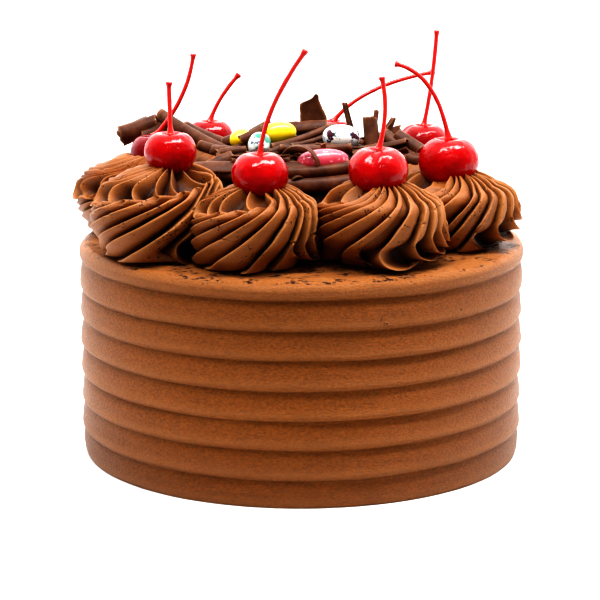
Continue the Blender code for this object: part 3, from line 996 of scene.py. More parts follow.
def swirl_centre(plan: SwirlPlan) -> Array:
    """Finds where a swirl stands.

    Args:
        plan: the swirl's plan.

    Returns:
        Its middle, across and deep.
    """
    bearing = math.radians(plan.bearing)
    offset = np.array((RING_HALF_WIDTH * math.sin(bearing), -RING_HALF_DEPTH * math.cos(bearing)))
    return RING_CENTRE + plan.distance * offset


def cherry_middle(plan: SwirlPlan) -> Array:
    """Gives the middle of the cherry on a swirl."""
    across, deep = swirl_centre(plan) + np.array(plan.shift)
    return np.array((across, deep, SWIRL_FOOT + plan.height + plan.cherry_rise))


def above_cake(place: Point) -> Array:
    """Lifts a place that is given from the cake's top."""
    return np.array(place) + (0.0, 0.0, CAKE_TOP)


@dataclass
class PipedSwirl:
    """One rosette from a large star nozzle, coiled once round and lifted off under the cherry.

    Its crests climb the side as lines of flow. Where the second coil lies on the first, each
    crest doubles back on itself and leaves a looped pocket.

    Attributes:
        index: its place among the plans.
        ridges: how many the nozzle's teeth make.
        rows: points up its side.
        traced_rows: points up its side where the flow is followed.
        step_width: how wide the step between two coils is, as a share of the path.
        fold_drop: how far the second coil sags over the first, as a share of the height.
        overhang: how far it hangs over.
        hook: how far the foot's edge turns up.
        hook_fade: over what share of the path that fades.
        foot_sag: how far the side above it sags.
        sag_fade: over what share of the path that fades.
        foot_height: the share of the height up to which the foot is narrowed.
        seat_gap: between the cherry and the last ring.
        pocket_depth: how much deeper a groove is in a pocket.
        thinnest_ridge: depth of the shallowest groove, as a share.
        widest_ridge: depth of the deepest one.
        tip_rise: how far the ridges' tips stand up round the cherry.
        tip_reach: how far they stand out.
        sink: how far the cherry pressed the top down.
        contact_gap: how far it may press into a neighbour.
        contact_softness: over how many millimetres it flattens there.
        upper_turn: how much faster the crests turn in the upper half, as a share.
        top_turn: how much faster still under the cherry.
        slow_drift: the nozzle's slow unevenness.
        quick_drift: its quick unevenness.
        nick: how deep the nicks along a crest are.
        torn_share: the share of the ridges that have a torn notch.
    """

    index: int
    ridges: int = 18
    rows: int = 142
    traced_rows: int = 301
    step_width: float = 0.035
    fold_drop: float = 0.15
    overhang: float = 2.4
    hook: float = 2.4
    hook_fade: float = 0.035
    foot_sag: float = 1.7
    sag_fade: float = 0.14
    foot_height: float = 0.42
    seat_gap: float = 0.6
    pocket_depth: float = 0.6
    thinnest_ridge: float = 0.82
    widest_ridge: float = 1.12
    tip_rise: float = 2.6
    tip_reach: float = 1.1
    sink: float = 2.4
    contact_gap: float = 0.9
    contact_softness: float = 0.8
    upper_turn: float = 0.3
    top_turn: float = 1.6
    slow_drift: float = 0.35
    quick_drift: float = 0.1
    nick: float = 0.22
    torn_share: float = 0.7
    # Across one ridge from its crest to the next: how deep the surface lies, and how far it
    # leans, as shares of the groove's depth and of the ridge's width.
    phases: tuple[float, ...] = (
        0.0, 0.03, 0.065, 0.12, 0.22, 0.34, 0.46, 0.58, 0.69, 0.78, 0.86, 0.92, 0.96, 0.985)
    depths: tuple[float, ...] = (
        0.0, -0.02, 0.0, 0.04, 0.12, 0.24, 0.38, 0.56, 0.76, 0.92, 1.0, 0.97, 0.7, 0.25)
    leans: tuple[float, ...] = (
        0.0, 0.03, 0.07, 0.13, 0.2, 0.24, 0.25, 0.25, 0.25, 0.25, 0.25, 0.22, 0.14, 0.04)
    # Up the side: share of the path, share of the radius, and groove depth.
    stations: tuple[float, ...] = (0.0, 0.05, 0.12, 0.27, 0.45, 0.62, 0.76, 0.87, 0.95, 1.0)
    widths: tuple[float, ...] = (0.94, 0.96, 0.98, 0.99, 1.0, 1.0, 0.94, 0.80, 0.61, 0.44)
    grooves: tuple[float, ...] = (5.4, 5.6, 5.6, 5.6, 5.7, 5.6, 5.2, 4.6, 3.4, 2.2)
    plan: SwirlPlan = field(init=False)

    def __post_init__(self) -> None:
        """Finds the swirl's plan."""
        self.plan = SWIRL_PLANS[self.index]

    def crest_starts(self) -> tuple[Array, Array, Array]:
        """Lays the ridges round the swirl at half its height, the known ones first.

        Returns:
            Each column's azimuth in radians, its ridge number and its phase.
        """
        draw = np.random.default_rng(40 + self.index)
        known = np.array(self.plan.crests)
        left = self.ridges - len(known) + 1
        share = np.arange(1, left) + draw.uniform(-0.16, 0.16, left - 1)
        others = known[-1] + (known[0] + 360 - known[-1]) * share / left
        crests = np.concatenate([known, others, known[:1] + 360])
        ridge = np.repeat(np.arange(self.ridges), len(self.phases))
        phase = np.tile(np.array(self.phases), self.ridges)
        azimuth = np.interp(ridge + phase, np.arange(self.ridges + 1), crests)
        return np.radians(azimuth), ridge, phase

    def steps(self, azimuth: Array, path: Array) -> tuple[Array, Array]:
        """Finds where each column crosses the step between two coils, which it can do twice.

        Args:
            azimuth: each column's azimuth up its path, in radians.
            path: shares of the path.

        Returns:
            The height share of each crossing and the step's strength there, crossings by columns.
        """
        first, last, low, power = self.plan.coil
        laps = 360.0 * np.array((-1, 0, 1))[:, None, None]
        lap = (np.degrees(azimuth) + laps - first) / (last - first)
        height = low + (1.03 - low) * np.clip(lap, 0, 1) ** power
        row = np.argmax(path >= height, axis=1)
        crossing = np.take_along_axis(height, row[:, None], axis=1)[:, 0]
        lap = np.take_along_axis(lap, row[:, None], axis=1)[:, 0]
        strength = smooth_step(lap, 0.0, 0.04) * (1 - smooth_step(lap, 0.84, 1.0)) * (row > 0)
        return crossing, strength

    def flow(self, starts: Array) -> dict[str, Array]:
        """Follows each column up and down the side.

        Args:
            starts: azimuth of each column at half height, in radians.

        Returns:
            Azimuth, height share, share of the path, how far the surface bulges at the steps and
            where the looped pockets above them are, rows by columns.
        """
        rows = self.traced_rows
        path = np.linspace(0, 1, rows)[:, None]
        azimuth = np.empty((rows, len(starts)))
        middle = rows // 2
        azimuth[middle] = starts
        for row in range(middle, rows - 1):
            azimuth[row + 1] = azimuth[row] + self._rate(azimuth[row], path[row]) / (rows - 1)
        for row in range(middle, 0, -1):
            azimuth[row - 1] = azimuth[row] - self._rate(azimuth[row], path[row]) / (rows - 1)
        crossing, strength = self.steps(azimuth, path)
        away = (path - crossing[:, None]) / self.step_width
        strength = strength[:, None]
        # A column that has passed a step is folded back by it. The columns are laid out at half
        # height, so what a step below that has folded back already is taken off again.
        over = 1 / (1 + np.exp(-1.9 * np.clip(away - 0.6, -12, 12)))
        settled = 1 / (1 + np.exp(-2.2 * (0.5 - crossing[:, None]) / 0.22))
        back = (math.radians(self.plan.fold_back) * strength * (over - settled)).sum(axis=0)
        drop = (strength * peak(away - 0.7, 1.3)).sum(axis=0)
        # The foot's edge turns up where the nozzle left it, and the top sinks under the cherry.
        foot = self.hook * np.exp(-path / self.hook_fade)
        foot = foot - self.foot_sag * np.exp(-path / self.sag_fade)
        bends = (foot - self.sink * smooth_step(path, 0.75, 1.0)) / self.plan.height
        lip = np.clip(away + 0.9, -9, 9)
        bulge = strength * lip * np.exp(-(lip ** 2) / 6.5) / 1.1
        pocket = strength * peak(away - 1.6, 2.0)
        return {
            "azimuth": azimuth - back,
            "level": path - self.fold_drop * drop + bends,
            "path": np.broadcast_to(path, azimuth.shape),
            "bulge": bulge.sum(axis=0),
            "pocket": pocket.max(axis=0),
        }

    def _rate(self, azimuth: Array, path: Array) -> Array:
        """Gives how fast crests turn.

        Args:
            azimuth: where each crest is, in radians.
            path: the share of the path that it has reached.

        Returns:
            Radians per share of the path.
        """
        mean, swing, towards = self.plan.flow
        pace = mean + swing * np.cos(azimuth - math.radians(towards))
        lift = 1 + self.upper_turn * smooth_step(path, 0.5, 0.75)
        lift = lift + self.top_turn * smooth_step(path, 0.86, 1.0)
        return np.radians(pace * lift * self.plan.height)

    def even_rows(self, lines: dict[str, Array]) -> dict[str, Array]:
        """Spreads the rows evenly along each column's own length.

        Args:
            lines: what flow gives.

        Returns:
            The same values in new rows.
        """
        radius = self.plan.radius * curve_through(
            np.array(self.stations), np.array(self.widths), lines["path"])
        turn = np.diff(lines["azimuth"], axis=0) * radius[1:]
        climb = np.diff(lines["level"], axis=0) * self.plan.height
        shrink = np.diff(radius, axis=0)
        run = np.sqrt(turn ** 2 + climb ** 2 + shrink ** 2)
        run = np.concatenate([np.zeros((1, run.shape[1])), np.cumsum(run, axis=0)])
        share = run / run[-1]
        even = np.linspace(0, 1, self.rows)
        spread = {name: np.empty((self.rows, run.shape[1])) for name in lines}
        for column in range(run.shape[1]):
            for name, values in lines.items():
                spread[name][:, column] = np.interp(even, share[:, column], values[:, column])
        return spread

    def room(self, azimuth: Array, lean: Array) -> Array:
        """Gives how far the swirl can reach before it presses on a neighbour.

        Args:
            azimuth: each point's azimuth, in radians.
            lean: how far the swirl's axis has shifted there, across and deep.

        Returns:
            The free reach at each point.
        """
        centre = swirl_centre(self.plan)
        unbounded = 90.0
        free = np.full(azimuth.shape, unbounded)
        for side in (-1, 1):
            towards = swirl_centre(SWIRL_PLANS[(self.index + side) % len(SWIRL_PLANS)]) - centre
            gap = np.hypot(*towards)
            facing = (np.sin(azimuth) * towards[0] - np.cos(azimuth) * towards[1]) / gap
            reach = gap / 2 + self.contact_gap - lean @ (towards / gap)
            reach = np.where(facing > 0.05, reach / np.maximum(facing, 0.05), unbounded)
            free = np.minimum(free, reach)
        return free

    def surface(self) -> tuple[Array, dict[str, Array]]:
        """Works the whole surface out.

        Returns:
            The grid of points in millimetres, and its painted shade and painted highlight.
        """
        plan = self.plan
        starts, ridge, phase = self.crest_starts()
        lines = self.even_rows(self.flow(starts))
        path, azimuth = lines["path"], lines["azimuth"]
        # The last ring lies close round the cherry where it sits.
        contact = plan.cherry_radius * math.sqrt(
            1 - ((plan.cherry_rise + self.sink) / plan.cherry_radius / CHERRY_SQUASH) ** 2)
        contact += self.seat_gap
        widths = np.array(self.widths)
        widths[-1] = contact / plan.radius
        stations, ahead = np.array(self.stations), 0.01
        share = curve_through(stations, widths, path)
        slope = (curve_through(stations, widths, path + ahead) - share) / ahead
        slope = slope * plan.radius / plan.height
        outward = 1 / np.sqrt(1 + slope ** 2)
        upward = -slope * outward
        places, shares = np.array(plan.foot).T
        foot = np.interp(np.degrees(azimuth), places, shares, period=360)
        narrowed = 1 - (1 - foot) * (1 - smooth_step(path, 0.0, self.foot_height))
        envelope = plan.radius * share * narrowed + self.overhang * lines["bulge"]
        lean = path[..., None] ** 3 * np.array(plan.shift)
        free = self.room(azimuth, lean)
        # The smaller of the swirl's own reach and the room it has, with a soft passage.
        soft = self.contact_softness
        envelope = -soft * np.logaddexp(-envelope / soft, -free / soft)
        depth = curve_through(stations, np.array(self.grooves), path)
        draw = np.random.default_rng(70 + self.index)
        own = draw.uniform(self.thinnest_ridge, self.widest_ridge, self.ridges)
        depth = depth * (own[ridge] * (1 - phase) + own[(ridge + 1) % self.ridges] * phase)
        # In a looped pocket the groove is deeper and rounder, and the ridge stands straight.
        pocket = lines["pocket"]
        depth = depth * (1 + self.pocket_depth * pocket)
        cut = np.interp(phase, self.phases, self.depths)
        cut = cut + (np.sin(math.pi * phase) ** 0.8 - cut) * pocket
        sunk = depth * cut + self._nicks(ridge, phase, path)
        tips = smooth_step(path, 0.9, 1.0) * (1 - cut)
        once_round = np.concatenate([azimuth, azimuth[:, :1] + math.tau], axis=1)
        ridges = np.concatenate([ridge + phase, [self.ridges]])
        width = np.gradient(once_round, ridges, axis=1)[:, :-1]
        sway = np.interp(phase, self.phases, self.leans) * width * (1 - pocket)
        azimuth = azimuth + sway
        radius = envelope - outward * sunk + self.tip_reach * tips
        level = lines["level"] * plan.height - upward * sunk + self.tip_rise * own[ridge] * tips
        base = swirl_centre(plan)
        grid = points_round(
            (base[0] + lean[..., 0], base[1] + lean[..., 1]), radius, azimuth, SWIRL_FOOT + level)
        drift = self.slow_drift * Lumps(20 + self.index, 8.0).at(grid)
        drift = drift + self.quick_drift * Lumps(30 + self.index, 2.2).at(grid)
        grid[..., 0] += drift * np.sin(azimuth)
        grid[..., 1] -= drift * np.cos(azimuth)
        # A painted highlight along each crest, and painted shade where the grooves are deep.
        near = np.minimum(phase, 1 - phase)
        rim = peak(near, 0.05) * np.ones_like(path)
        painted_shade = np.clip((cut - 0.22) / 0.68, 0, 1) * np.clip(depth / 4.5, 0, 1)
        return self._closed(grid, {"painted_shade": painted_shade, "rim": rim})

    def _nicks(self, ridge: Array, phase: Array, path: Array) -> Array:
        """Gives the nicks and notches that the nozzle's teeth left along the crests.

        Args:
            ridge: each column's ridge.
            phase: each column's phase.
            path: shares of the path, rows by columns.

        Returns:
            How deep they are, rows by columns.
        """
        near = np.minimum(phase, 1 - phase)
        owner = np.where(phase > 0.5, ridge + 1, ridge) % self.ridges
        along = join_points(9.0 * owner + 200 * self.index, 0.0, path * 45)
        fine = self.nick * np.abs(Lumps(50, 1.1).at(along)) + self.nick * Lumps(51, 5.0).at(along)
        draw = np.random.default_rng(90 + self.index)
        torn = np.zeros(path.shape)
        for number in range(self.ridges):
            place = draw.uniform(0.25, 0.95)
            size = draw.uniform(0.3, 1.7) * (draw.random() < self.torn_share)
            notch = size * peak(path - place, 0.011, 4)
            torn += np.where(owner == number, notch, 0.0)
        return peak(near, 0.06) * fine + peak(near, 0.1) * torn

    def _closed(self, grid: Array, marks: dict[str, Array]) -> tuple[Array, dict[str, Array]]:
        """Tucks the skin in under the swirl and under the cherry.

        Args:
            grid: the side's points.
            marks: the side's marks.

        Returns:
            The grid and the marks with the tucked-in rows added.
        """
        foot = np.append(swirl_centre(self.plan), CAKE_TOP - 0.4)
        seat = cherry_middle(self.plan) - (0, 0, CHERRY_SQUASH * self.plan.cherry_radius - 1.0)
        below = [foot + (grid[0] - foot) * shrink
                 for shrink in ((0.7, 0.7, 0.0), (0.78, 0.78, 0.9))]
        above = [seat + (grid[-1] - seat) * shrink
                 for shrink in ((0.72, 0.72, 0.55), (0.4, 0.4, 0.1))]
        # The tucked-in rows under the swirl and the cherry are all painted shade.
        tucked = {
            name: np.concatenate([np.full((2, grid.shape[1]), value), marks[name],
                                  np.full((2, grid.shape[1]), value)])
            for name, value in (("painted_shade", 1.0), ("rim", 0.0))
        }
        return np.concatenate([np.array(below), grid, np.array(above)]), tucked

    def build(self, finish: bpy.types.Material) -> bpy.types.Object:
        """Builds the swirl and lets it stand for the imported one.

        Args:
            finish: its material.

        Returns:
            The new piece.
        """
        number = self.index + 1
        return closed_skin(*self.surface()).to_piece(
            f"piped_swirl_{number}", finish, Slot.CREAM, f"swirl_{number}")


@dataclass
class Cherry:
    """One cocktail cherry: broad shoulders, a dimple round the stem and a soft crease.

    Attributes:
        index: the swirl that it sits on.
        crease_at: the crease's azimuth.
        crease_depth: how deep the crease is at the shoulder.
        crease_spread: how wide it is, as the square of an angle in radians.
        dimple_depth: how deep the dimple is.
        dimple_width: how wide it is.
        unevenness: how lumpy the cherry is.
        boxiness: power of the cosine that its width follows. Below 1 broadens its shoulders.
        top_squash: how much flatter its upper half is.
        drop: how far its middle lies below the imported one's.
        first_ring: the latitude in degrees of its lowest ring of points.
        last_ring: the latitude of its highest one.
        columns: points round it.
        rows: points from pole to pole.
    """

    index: int
    crease_at: float
    crease_depth: float = 0.5
    crease_spread: float = 0.045
    dimple_depth: float = 3.2
    dimple_width: float = 4.0
    unevenness: float = 0.35
    boxiness: float = 0.82
    top_squash: float = 0.94
    drop: float = 0.4
    first_ring: float = -86.0
    last_ring: float = 88.5
    columns: int = 72
    rows: int = 48

    def build(self, finish: bpy.types.Material) -> bpy.types.Object:
        """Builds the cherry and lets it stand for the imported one.

        Args:
            finish: its material.

        Returns:
            The new piece.
        """
        plan = SWIRL_PLANS[self.index]
        radius = plan.cherry_radius
        latitude = np.radians(np.linspace(self.first_ring, self.last_ring, self.rows))[:, None]
        azimuth = azimuths(self.columns)
        across = radius * np.cos(latitude) ** self.boxiness
        rise = radius * CHERRY_SQUASH * np.sin(latitude)
        rise = rise * np.where(latitude > 0, self.top_squash, 1.0) - self.drop
        dimple = self.dimple_depth * peak(across, self.dimple_width) * (latitude > 0)
        off_crease = (azimuth - math.radians(self.crease_at) + math.pi) % math.tau - math.pi
        crease = np.exp(-off_crease ** 2 / self.crease_spread)
        sunk = self.crease_depth * crease * smooth_step(latitude, -0.5, 0.7)
        side = points_round((0.0, 0.0), across, azimuth, rise)
        plump = self.unevenness * Lumps(60 + self.index, 11.0).at(side) - sunk
        reach = across + plump * np.cos(latitude)
        height = rise - dimple + (plump - 0.4 * sunk) * np.sin(latitude) * 0.6
        middle = cherry_middle(plan)
        number = self.index + 1
        return closed_skin(points_round(middle, reach, azimuth, middle[2] + height)).to_piece(
            f"cocktail_cherry_{number}", finish, Slot.CHERRY, f"cherry_{number}")


# Pulling point and tip of each stem, from the middle of its cherry.
STEM_BENDS = (
    ((-0.2, 1.0, 17.4), (-0.5, 2.0, 29.4)),
    ((1.8, -1.0, 27.5), (19.4, -2.0, 51.9)),
    ((4.9, 1.0, 24.1), (1.2, 3.0, 38.9)),
    ((-5.7, 1.0, 38.5), (-24.1, 2.0, 42.2)),
    ((4.2, 1.0, 26.2), (5.8, 4.0, 51.2)),
    ((13.8, 1.0, 24.8), (48.2, 4.0, 30.2)),
    ((3.4, 1.0, 17.6), (13.9, 3.0, 28.8)),
    ((15.8, 0.0, 23.6), (18.3, 1.0, 44.4)),
)


def tube_rings(path: Array, radii: Array, sides: int) -> Array:
    """Gives the rings of points of a tube.

    Args:
        path: the tube's middle line.
        radii: its radius at each point.
        sides: points in a ring.

    Returns:
        Rows by sides by three coordinates.
    """
    ahead = np.gradient(path, axis=0)
    ahead /= np.linalg.norm(ahead, axis=1, keepdims=True)
    side = np.cross(ahead, (0.0, 1.0, 0.05))
    side /= np.linalg.norm(side, axis=1, keepdims=True)
    over = np.cross(side, ahead)
    turn = azimuths(sides)[0]
    ring = side[:, None] * np.cos(turn)[:, None] + over[:, None] * np.sin(turn)[:, None]
    return path[:, None] + ring * np.reshape(radii, (len(path), -1, 1))


@dataclass
class CherryStem:
    """One stem: a flared foot in the dimple, a long bend and a small torn knob at the tip.

    Attributes:
        index: the cherry that it grows from.
        radius: its radius along the bend.
        foot_radius: its radius in the dimple.
        foot_fade: over what length the foot's flare fades.
        foot_sink: how far below the cherry's top it starts.
        knob_radius: the tip's radius.
        knob_length: how long the knob is.
        torn_length: the length of the narrower torn end.
        torn_width: how wide that end is, as a share.
        unevenness: how far its radius varies, as a share.
        rows: points along it.
        sides: points round it.
    """

    index: int
    radius: float = 0.95
    foot_radius: float = 2.3
    foot_fade: float = 1.6
    foot_sink: float = 2.9
    knob_radius: float = 1.6
    knob_length: float = 1.5
    torn_length: float = 0.35
    torn_width: float = 0.82
    unevenness: float = 0.1
    rows: int = 56
    sides: int = 14

    def build(self, finish: bpy.types.Material) -> bpy.types.Object:
        """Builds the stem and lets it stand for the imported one.

        Args:
            finish: its material.

        Returns:
            The new piece.
        """
        plan = SWIRL_PLANS[self.index]
        middle = cherry_middle(plan)
        start = middle + (0, 0, CHERRY_SQUASH * plan.cherry_radius - self.foot_sink)
        pull, tip = (middle + np.array(place) for place in STEM_BENDS[self.index])
        share = np.linspace(0, 1, self.rows)[:, None]
        path = start * (1 - share) ** 2 + 2 * pull * share * (1 - share) + tip * share ** 2
        length = np.linalg.norm(np.diff(path, axis=0), axis=1).sum()
        along = share[:, 0] * length
        radii = self.radius + (self.foot_radius - self.radius) * np.exp(-along / self.foot_fade)
        radii += (self.knob_radius - self.radius) * peak(length - along, self.knob_length)
        radii = np.where(length - along < self.torn_length, radii * self.torn_width, radii)
        rings = tube_rings(path, radii, self.sides)
        centre = path[:, None]
        uneven = 1 + self.unevenness * Lumps(80 + self.index, 2.4).at(rings)
        number = self.index + 1
        return closed_skin(centre + (rings - centre) * uneven[..., None]).to_piece(
            f"stem_{number}", finish, Slot.STEM, f"cherry_stem_{number}")


def add_shaving(heap: MeshHeap, front: Array, back: Array, wear: Array) -> None:
    """Adds a shaving, closed along all its edges.

    Args:
        heap: the heap that takes its skin.
        front: the points of one face, rows by columns by three coordinates.
        back: the points of the other face behind them.
        wear: how crumbly each point is, from 0 to 1.
    """
    loop = np.concatenate([front, back[:, ::-1]], axis=1)
    heap.add_grid(loop, {"edge": np.concatenate([wear, wear[:, ::-1]], axis=1)}, caps=False)
    for row, way in ((0, 1), (-1, -1)):
        rim = np.stack([back[row], front[row]])[::way]
        heap.add_grid(rim, {"edge": np.ones(rim.shape[:2])}, around=False, caps=False)


@dataclass(frozen=True)
class RolledCurl:
    """A shaving that rolled itself into a tube, between two ends above the cake's top.

    Attributes:
        start: one end of its middle line.
        end: the other end.
        width: across the roll.
        turns: how many times it is rolled round.
        opens_at: where its free edge lies, in degrees round the roll.
        thick: how thick a wide one's chocolate is.
        thickest: how thick a narrow one's is, as a share of the width.
        rows: points along it.
        columns: points along its spiral.
    """

    start: Point
    end: Point
    width: float
    turns: float = 1.35
    opens_at: float = 60.0
    thick: float = 0.75
    thickest: float = 0.16
    rows: int = 18
    columns: int = 28

    def add_to(self, heap: MeshHeap, seed: int) -> None:
        """Adds the curl to a heap of chocolate.

        Args:
            heap: the heap that takes its skin.
            seed: picks the raggedness of its ends.
        """
        thick = min(self.thick, self.thickest * self.width)
        start, end = above_cake(self.start), above_cake(self.end)
        axis = end - start
        length = np.linalg.norm(axis)
        axis = axis / length
        side = np.cross(axis, (0.0, 0.0, 1.0))
        side /= np.linalg.norm(side)
        over = np.cross(side, axis)
        along = np.linspace(0, 1, self.rows)[:, None]
        share = np.linspace(0, 1, self.columns)[None, :]
        # Neighbours in the table are turned apart, so that their free edges don't line up.
        angle = math.radians(self.opens_at + 67 * (seed % 5)) + math.tau * self.turns * share
        inward = (thick + 0.35) * np.maximum(self.turns * share - 0.25, 0.0) * 1.15
        outer = self.width / 2 * (1 - 0.07 * (2 * along - 1) ** 2) - inward
        spiral = join_points(self.width * np.cos(angle), self.width * np.sin(angle), 5.0 * share)
        ends = 0.4 + 0.75 * Lumps(100 + seed, 2.6).at(spiral)
        slide = along * length + ends * np.clip(1 - along * 5, 0, 1)
        slide = slide - ends[:, ::-1] * np.clip(along * 5 - 4, 0, 1)
        line = start + axis * slide[..., None]
        sag = -0.03 * length * 4 * along * (1 - along)

        def skin(radius: Array) -> Array:
            """Wraps one face of the shaving round the axis at a radius."""
            place = line + side * (radius * np.cos(angle))[..., None]
            return place + over * (radius * np.sin(angle) + sag)[..., None]

        wear = np.zeros((self.rows, self.columns))
        wear[:, :1] = 0.4
        wear[[0, -1]] = 1.0
        add_shaving(heap, skin(outer), skin(np.maximum(outer - thick, 0.05)), wear)


@dataclass(frozen=True)
class Flake:
    """A bent sliver of chocolate with torn edges, between two ends above the cake's top.

    Attributes:
        start: one end of its middle line.
        end: the other end.
        width: across it.
        roll: how far it is turned about its length. At 0 it lies flat, at 90 on edge.
        bow: how far it is curled across its width, in degrees.
        bend: how far it is curled along its length, in degrees.
        taper: how much narrower its far end is.
        edges: its outline as places along it with the left and right edge, all as shares.
        thick: how thick it is.
    """

    start: Point
    end: Point
    width: float
    roll: float = 0.0
    bow: float = 60.0
    bend: float = 20.0
    taper: float = 0.2
    edges: tuple[Point, ...] = ()
    thick: float = 0.7

    def add_to(self, heap: MeshHeap, seed: int, rows: int = 24, columns: int = 11) -> None:
        """Adds the flake to a heap of chocolate.

        Args:
            heap: the heap that takes its skin.
            seed: picks the line of its torn edges.
            rows: points along it.
            columns: points across it.
        """
        start, end = above_cake(self.start), above_cake(self.end)
        ahead, side, over = self._axes(end - start)
        length = np.linalg.norm(end - start)
        along = np.linspace(0, 1, rows)[:, None]
        left, right = self._outline(along)
        across = np.linspace(0, 1, columns)[None, :]
        # Each edge reads its own line of the unevenness, far from the other's.
        edge_line = join_points(along * length, np.where(across > 0.5, 40.0, -40.0), 3.0 * seed)
        torn = 0.55 * Lumps(140 + seed % 97, 3.4).at(edge_line)
        torn = torn + 0.2 * Lumps(150 + seed % 89, 0.9).at(edge_line)
        offset = (left + (right - left) * across) * self.width
        offset = offset + torn * (2 * across - 1)
        end_line = join_points(across * self.width, np.where(along > 0.5, 40.0, -40.0), 5.0 * seed)
        chip = 0.6 * Lumps(160 + seed % 83, 1.7).at(end_line) * (2 * along - 1) ** 3
        # A degree of curl is the least that the arcs below can be worked out for.
        bow, bend = (math.radians(math.copysign(max(abs(curl), 1.0), curl))
                     for curl in (self.bow, self.bend))
        turn = offset / self.width * bow
        lean = (along - 0.5) * bend
        hoop, arc = self.width / bow, length / (2 * math.sin(bend / 2))
        line = start + ahead * (length / 2 + arc * np.sin(lean) + chip)[..., None]
        line = line + over * (arc * (np.cos(lean) - math.cos(bend / 2)))[..., None]
        out = over * np.cos(lean)[..., None] + ahead * np.sin(lean)[..., None]
        middle = line + side * (hoop * np.sin(turn))[..., None]
        middle = middle - out * (hoop * (1 - np.cos(turn)))[..., None]
        half = (out * np.cos(turn)[..., None] + side * np.sin(turn)[..., None]) * self.thick / 2
        wear = np.zeros((rows, columns))
        wear[[0, -1]] = 1.0
        wear[:, [0, -1]] = 1.0
        add_shaving(heap, middle + half, middle - half, wear)

    def _outline(self, along: Array) -> tuple[Array, Array]:
        """Gives the left and right edge, as shares of the width.

        Args:
            along: places along the flake, from 0 to 1.

        Returns:
            The left edge and the right edge at each place.
        """
        if not self.edges:
            half = 0.5 * (1 - self.taper * along)
            return -half, half
        place, left, right = np.array(self.edges).T
        return np.interp(along, place, left), np.interp(along, place, right)

    def _axes(self, reach: Array) -> tuple[Array, Array, Array]:
        """Gives the flake's own axes.

        Args:
            reach: from one end of it to the other.

        Returns:
            The ways along, across and out of the flake.
        """
        ahead = reach / np.linalg.norm(reach)
        level = np.array((0.0, 0.0, 1.0)) if abs(ahead[2]) < 0.8 else np.array((0.0, 1.0, 0.0))
        side = np.cross(level, ahead)
        side /= np.linalg.norm(side)
        over = np.cross(ahead, side)
        cosine, sine = math.cos(math.radians(self.roll)), math.sin(math.radians(self.roll))
        return ahead, side * cosine + over * sine, over * cosine - side * sine


CURLS = (
    RolledCurl((-65.3, 33.0, 51.0), (-33.0, 6.0, 37.4), 7.4, 0.9, 215),
    RolledCurl((-84.0, 33.0, 41.6), (-66.0, 33.0, 47.6), 9.6, 0.8, 130),
    RolledCurl((-53.5, 35.0, 45.3), (-30.0, 12.0, 39.5), 6.4, 1.1, 60),
    RolledCurl((-46.0, 8.0, 40.6), (-24.0, -8.0, 38.6), 5.6),
    RolledCurl((-38.4, -6.0, 38.6), (-17.0, 6.0, 43.2), 4.4),
    RolledCurl((-31.0, -23.5, 38.6), (-5.0, -25.0, 39.2), 5.2),
    RolledCurl((-8.0, -32.0, 34.6), (22.0, -28.5, 36.6), 6.8),
    RolledCurl((-10.0, -17.5, 43.2), (22.5, -15.5, 43.4), 4.6),
    RolledCurl((-14.0, -11.5, 42.6), (12.5, 12.0, 48.2), 3.8),
    RolledCurl((-5.0, -8.0, 42.2), (14.0, 8.0, 45.6), 3.0),
    RolledCurl((-28.0, 12.0, 41.4), (-13.0, 18.0, 46.6), 4.4),
    RolledCurl((19.3, 9.0, 59.6), (27.0, 2.0, 36.0), 2.9),
    RolledCurl((30.6, 7.0, 52.8), (32.6, -1.0, 34.0), 8.0, 0.8, 250),
    RolledCurl((-27.5, 0.5, 43.6), (-16.5, 2.0, 48.8), 5.8, 1.0, 40),
    RolledCurl((-12.0, -32.5, 29.0), (25.0, -30.5, 30.5), 8.2),
    RolledCurl((-36.0, -25.5, 33.0), (-14.0, -31.0, 31.5), 7.0),
    RolledCurl((24.0, -25.0, 32.5), (38.0, -15.0, 34.0), 6.4),
    RolledCurl((34.0, -10.0, 35.6), (50.5, -3.5, 37.6), 6.2),
    RolledCurl((34.5, 15.0, 55.6), (30.0, 7.0, 34.0), 3.2),
    RolledCurl((42.0, 14.0, 51.6), (29.0, 4.0, 35.0), 3.2),
    RolledCurl((29.0, -1.0, 38.2), (48.0, -5.0, 42.4), 7.6, 0.9, 30),
    RolledCurl((-2.0, 22.0, 44.6), (22.0, 12.0, 41.6), 3.6),
    RolledCurl((-32.0, 21.0, 38.0), (-6.0, 25.0, 39.0), 5.6),
    RolledCurl((2.0, 25.0, 38.4), (30.0, 18.0, 39.0), 5.2),
    RolledCurl((-22.0, 19.0, 40.6), (9.0, 17.0, 41.8), 4.6),
    RolledCurl((20.0, 14.0, 40.0), (42.0, 22.0, 43.6), 4.4),
    RolledCurl((23.0, -19.0, 38.4), (37.0, -12.0, 39.0), 4.6),
    RolledCurl((-37.0, -8.0, 38.0), (-24.0, -19.0, 38.8), 4.4),
    RolledCurl((2.0, 8.0, 42.0), (28.0, 8.0, 41.4), 4.6),
    RolledCurl((-25.0, -20.0, 39.4), (-8.0, -14.0, 42.2), 4.0),
    RolledCurl((6.0, -9.5, 42.4), (29.0, -11.0, 40.8), 4.0),
    RolledCurl((-13.0, 24.5, 39.0), (10.0, 19.0, 41.4), 4.4),
    RolledCurl((24.0, 5.0, 40.6), (36.0, -7.0, 38.8), 4.4),
    RolledCurl((-38.0, 6.0, 37.6), (-27.0, 18.0, 39.4), 4.8),
    RolledCurl((-14.0, 12.0, 41.8), (-1.0, 22.5, 41.2), 3.8),
)

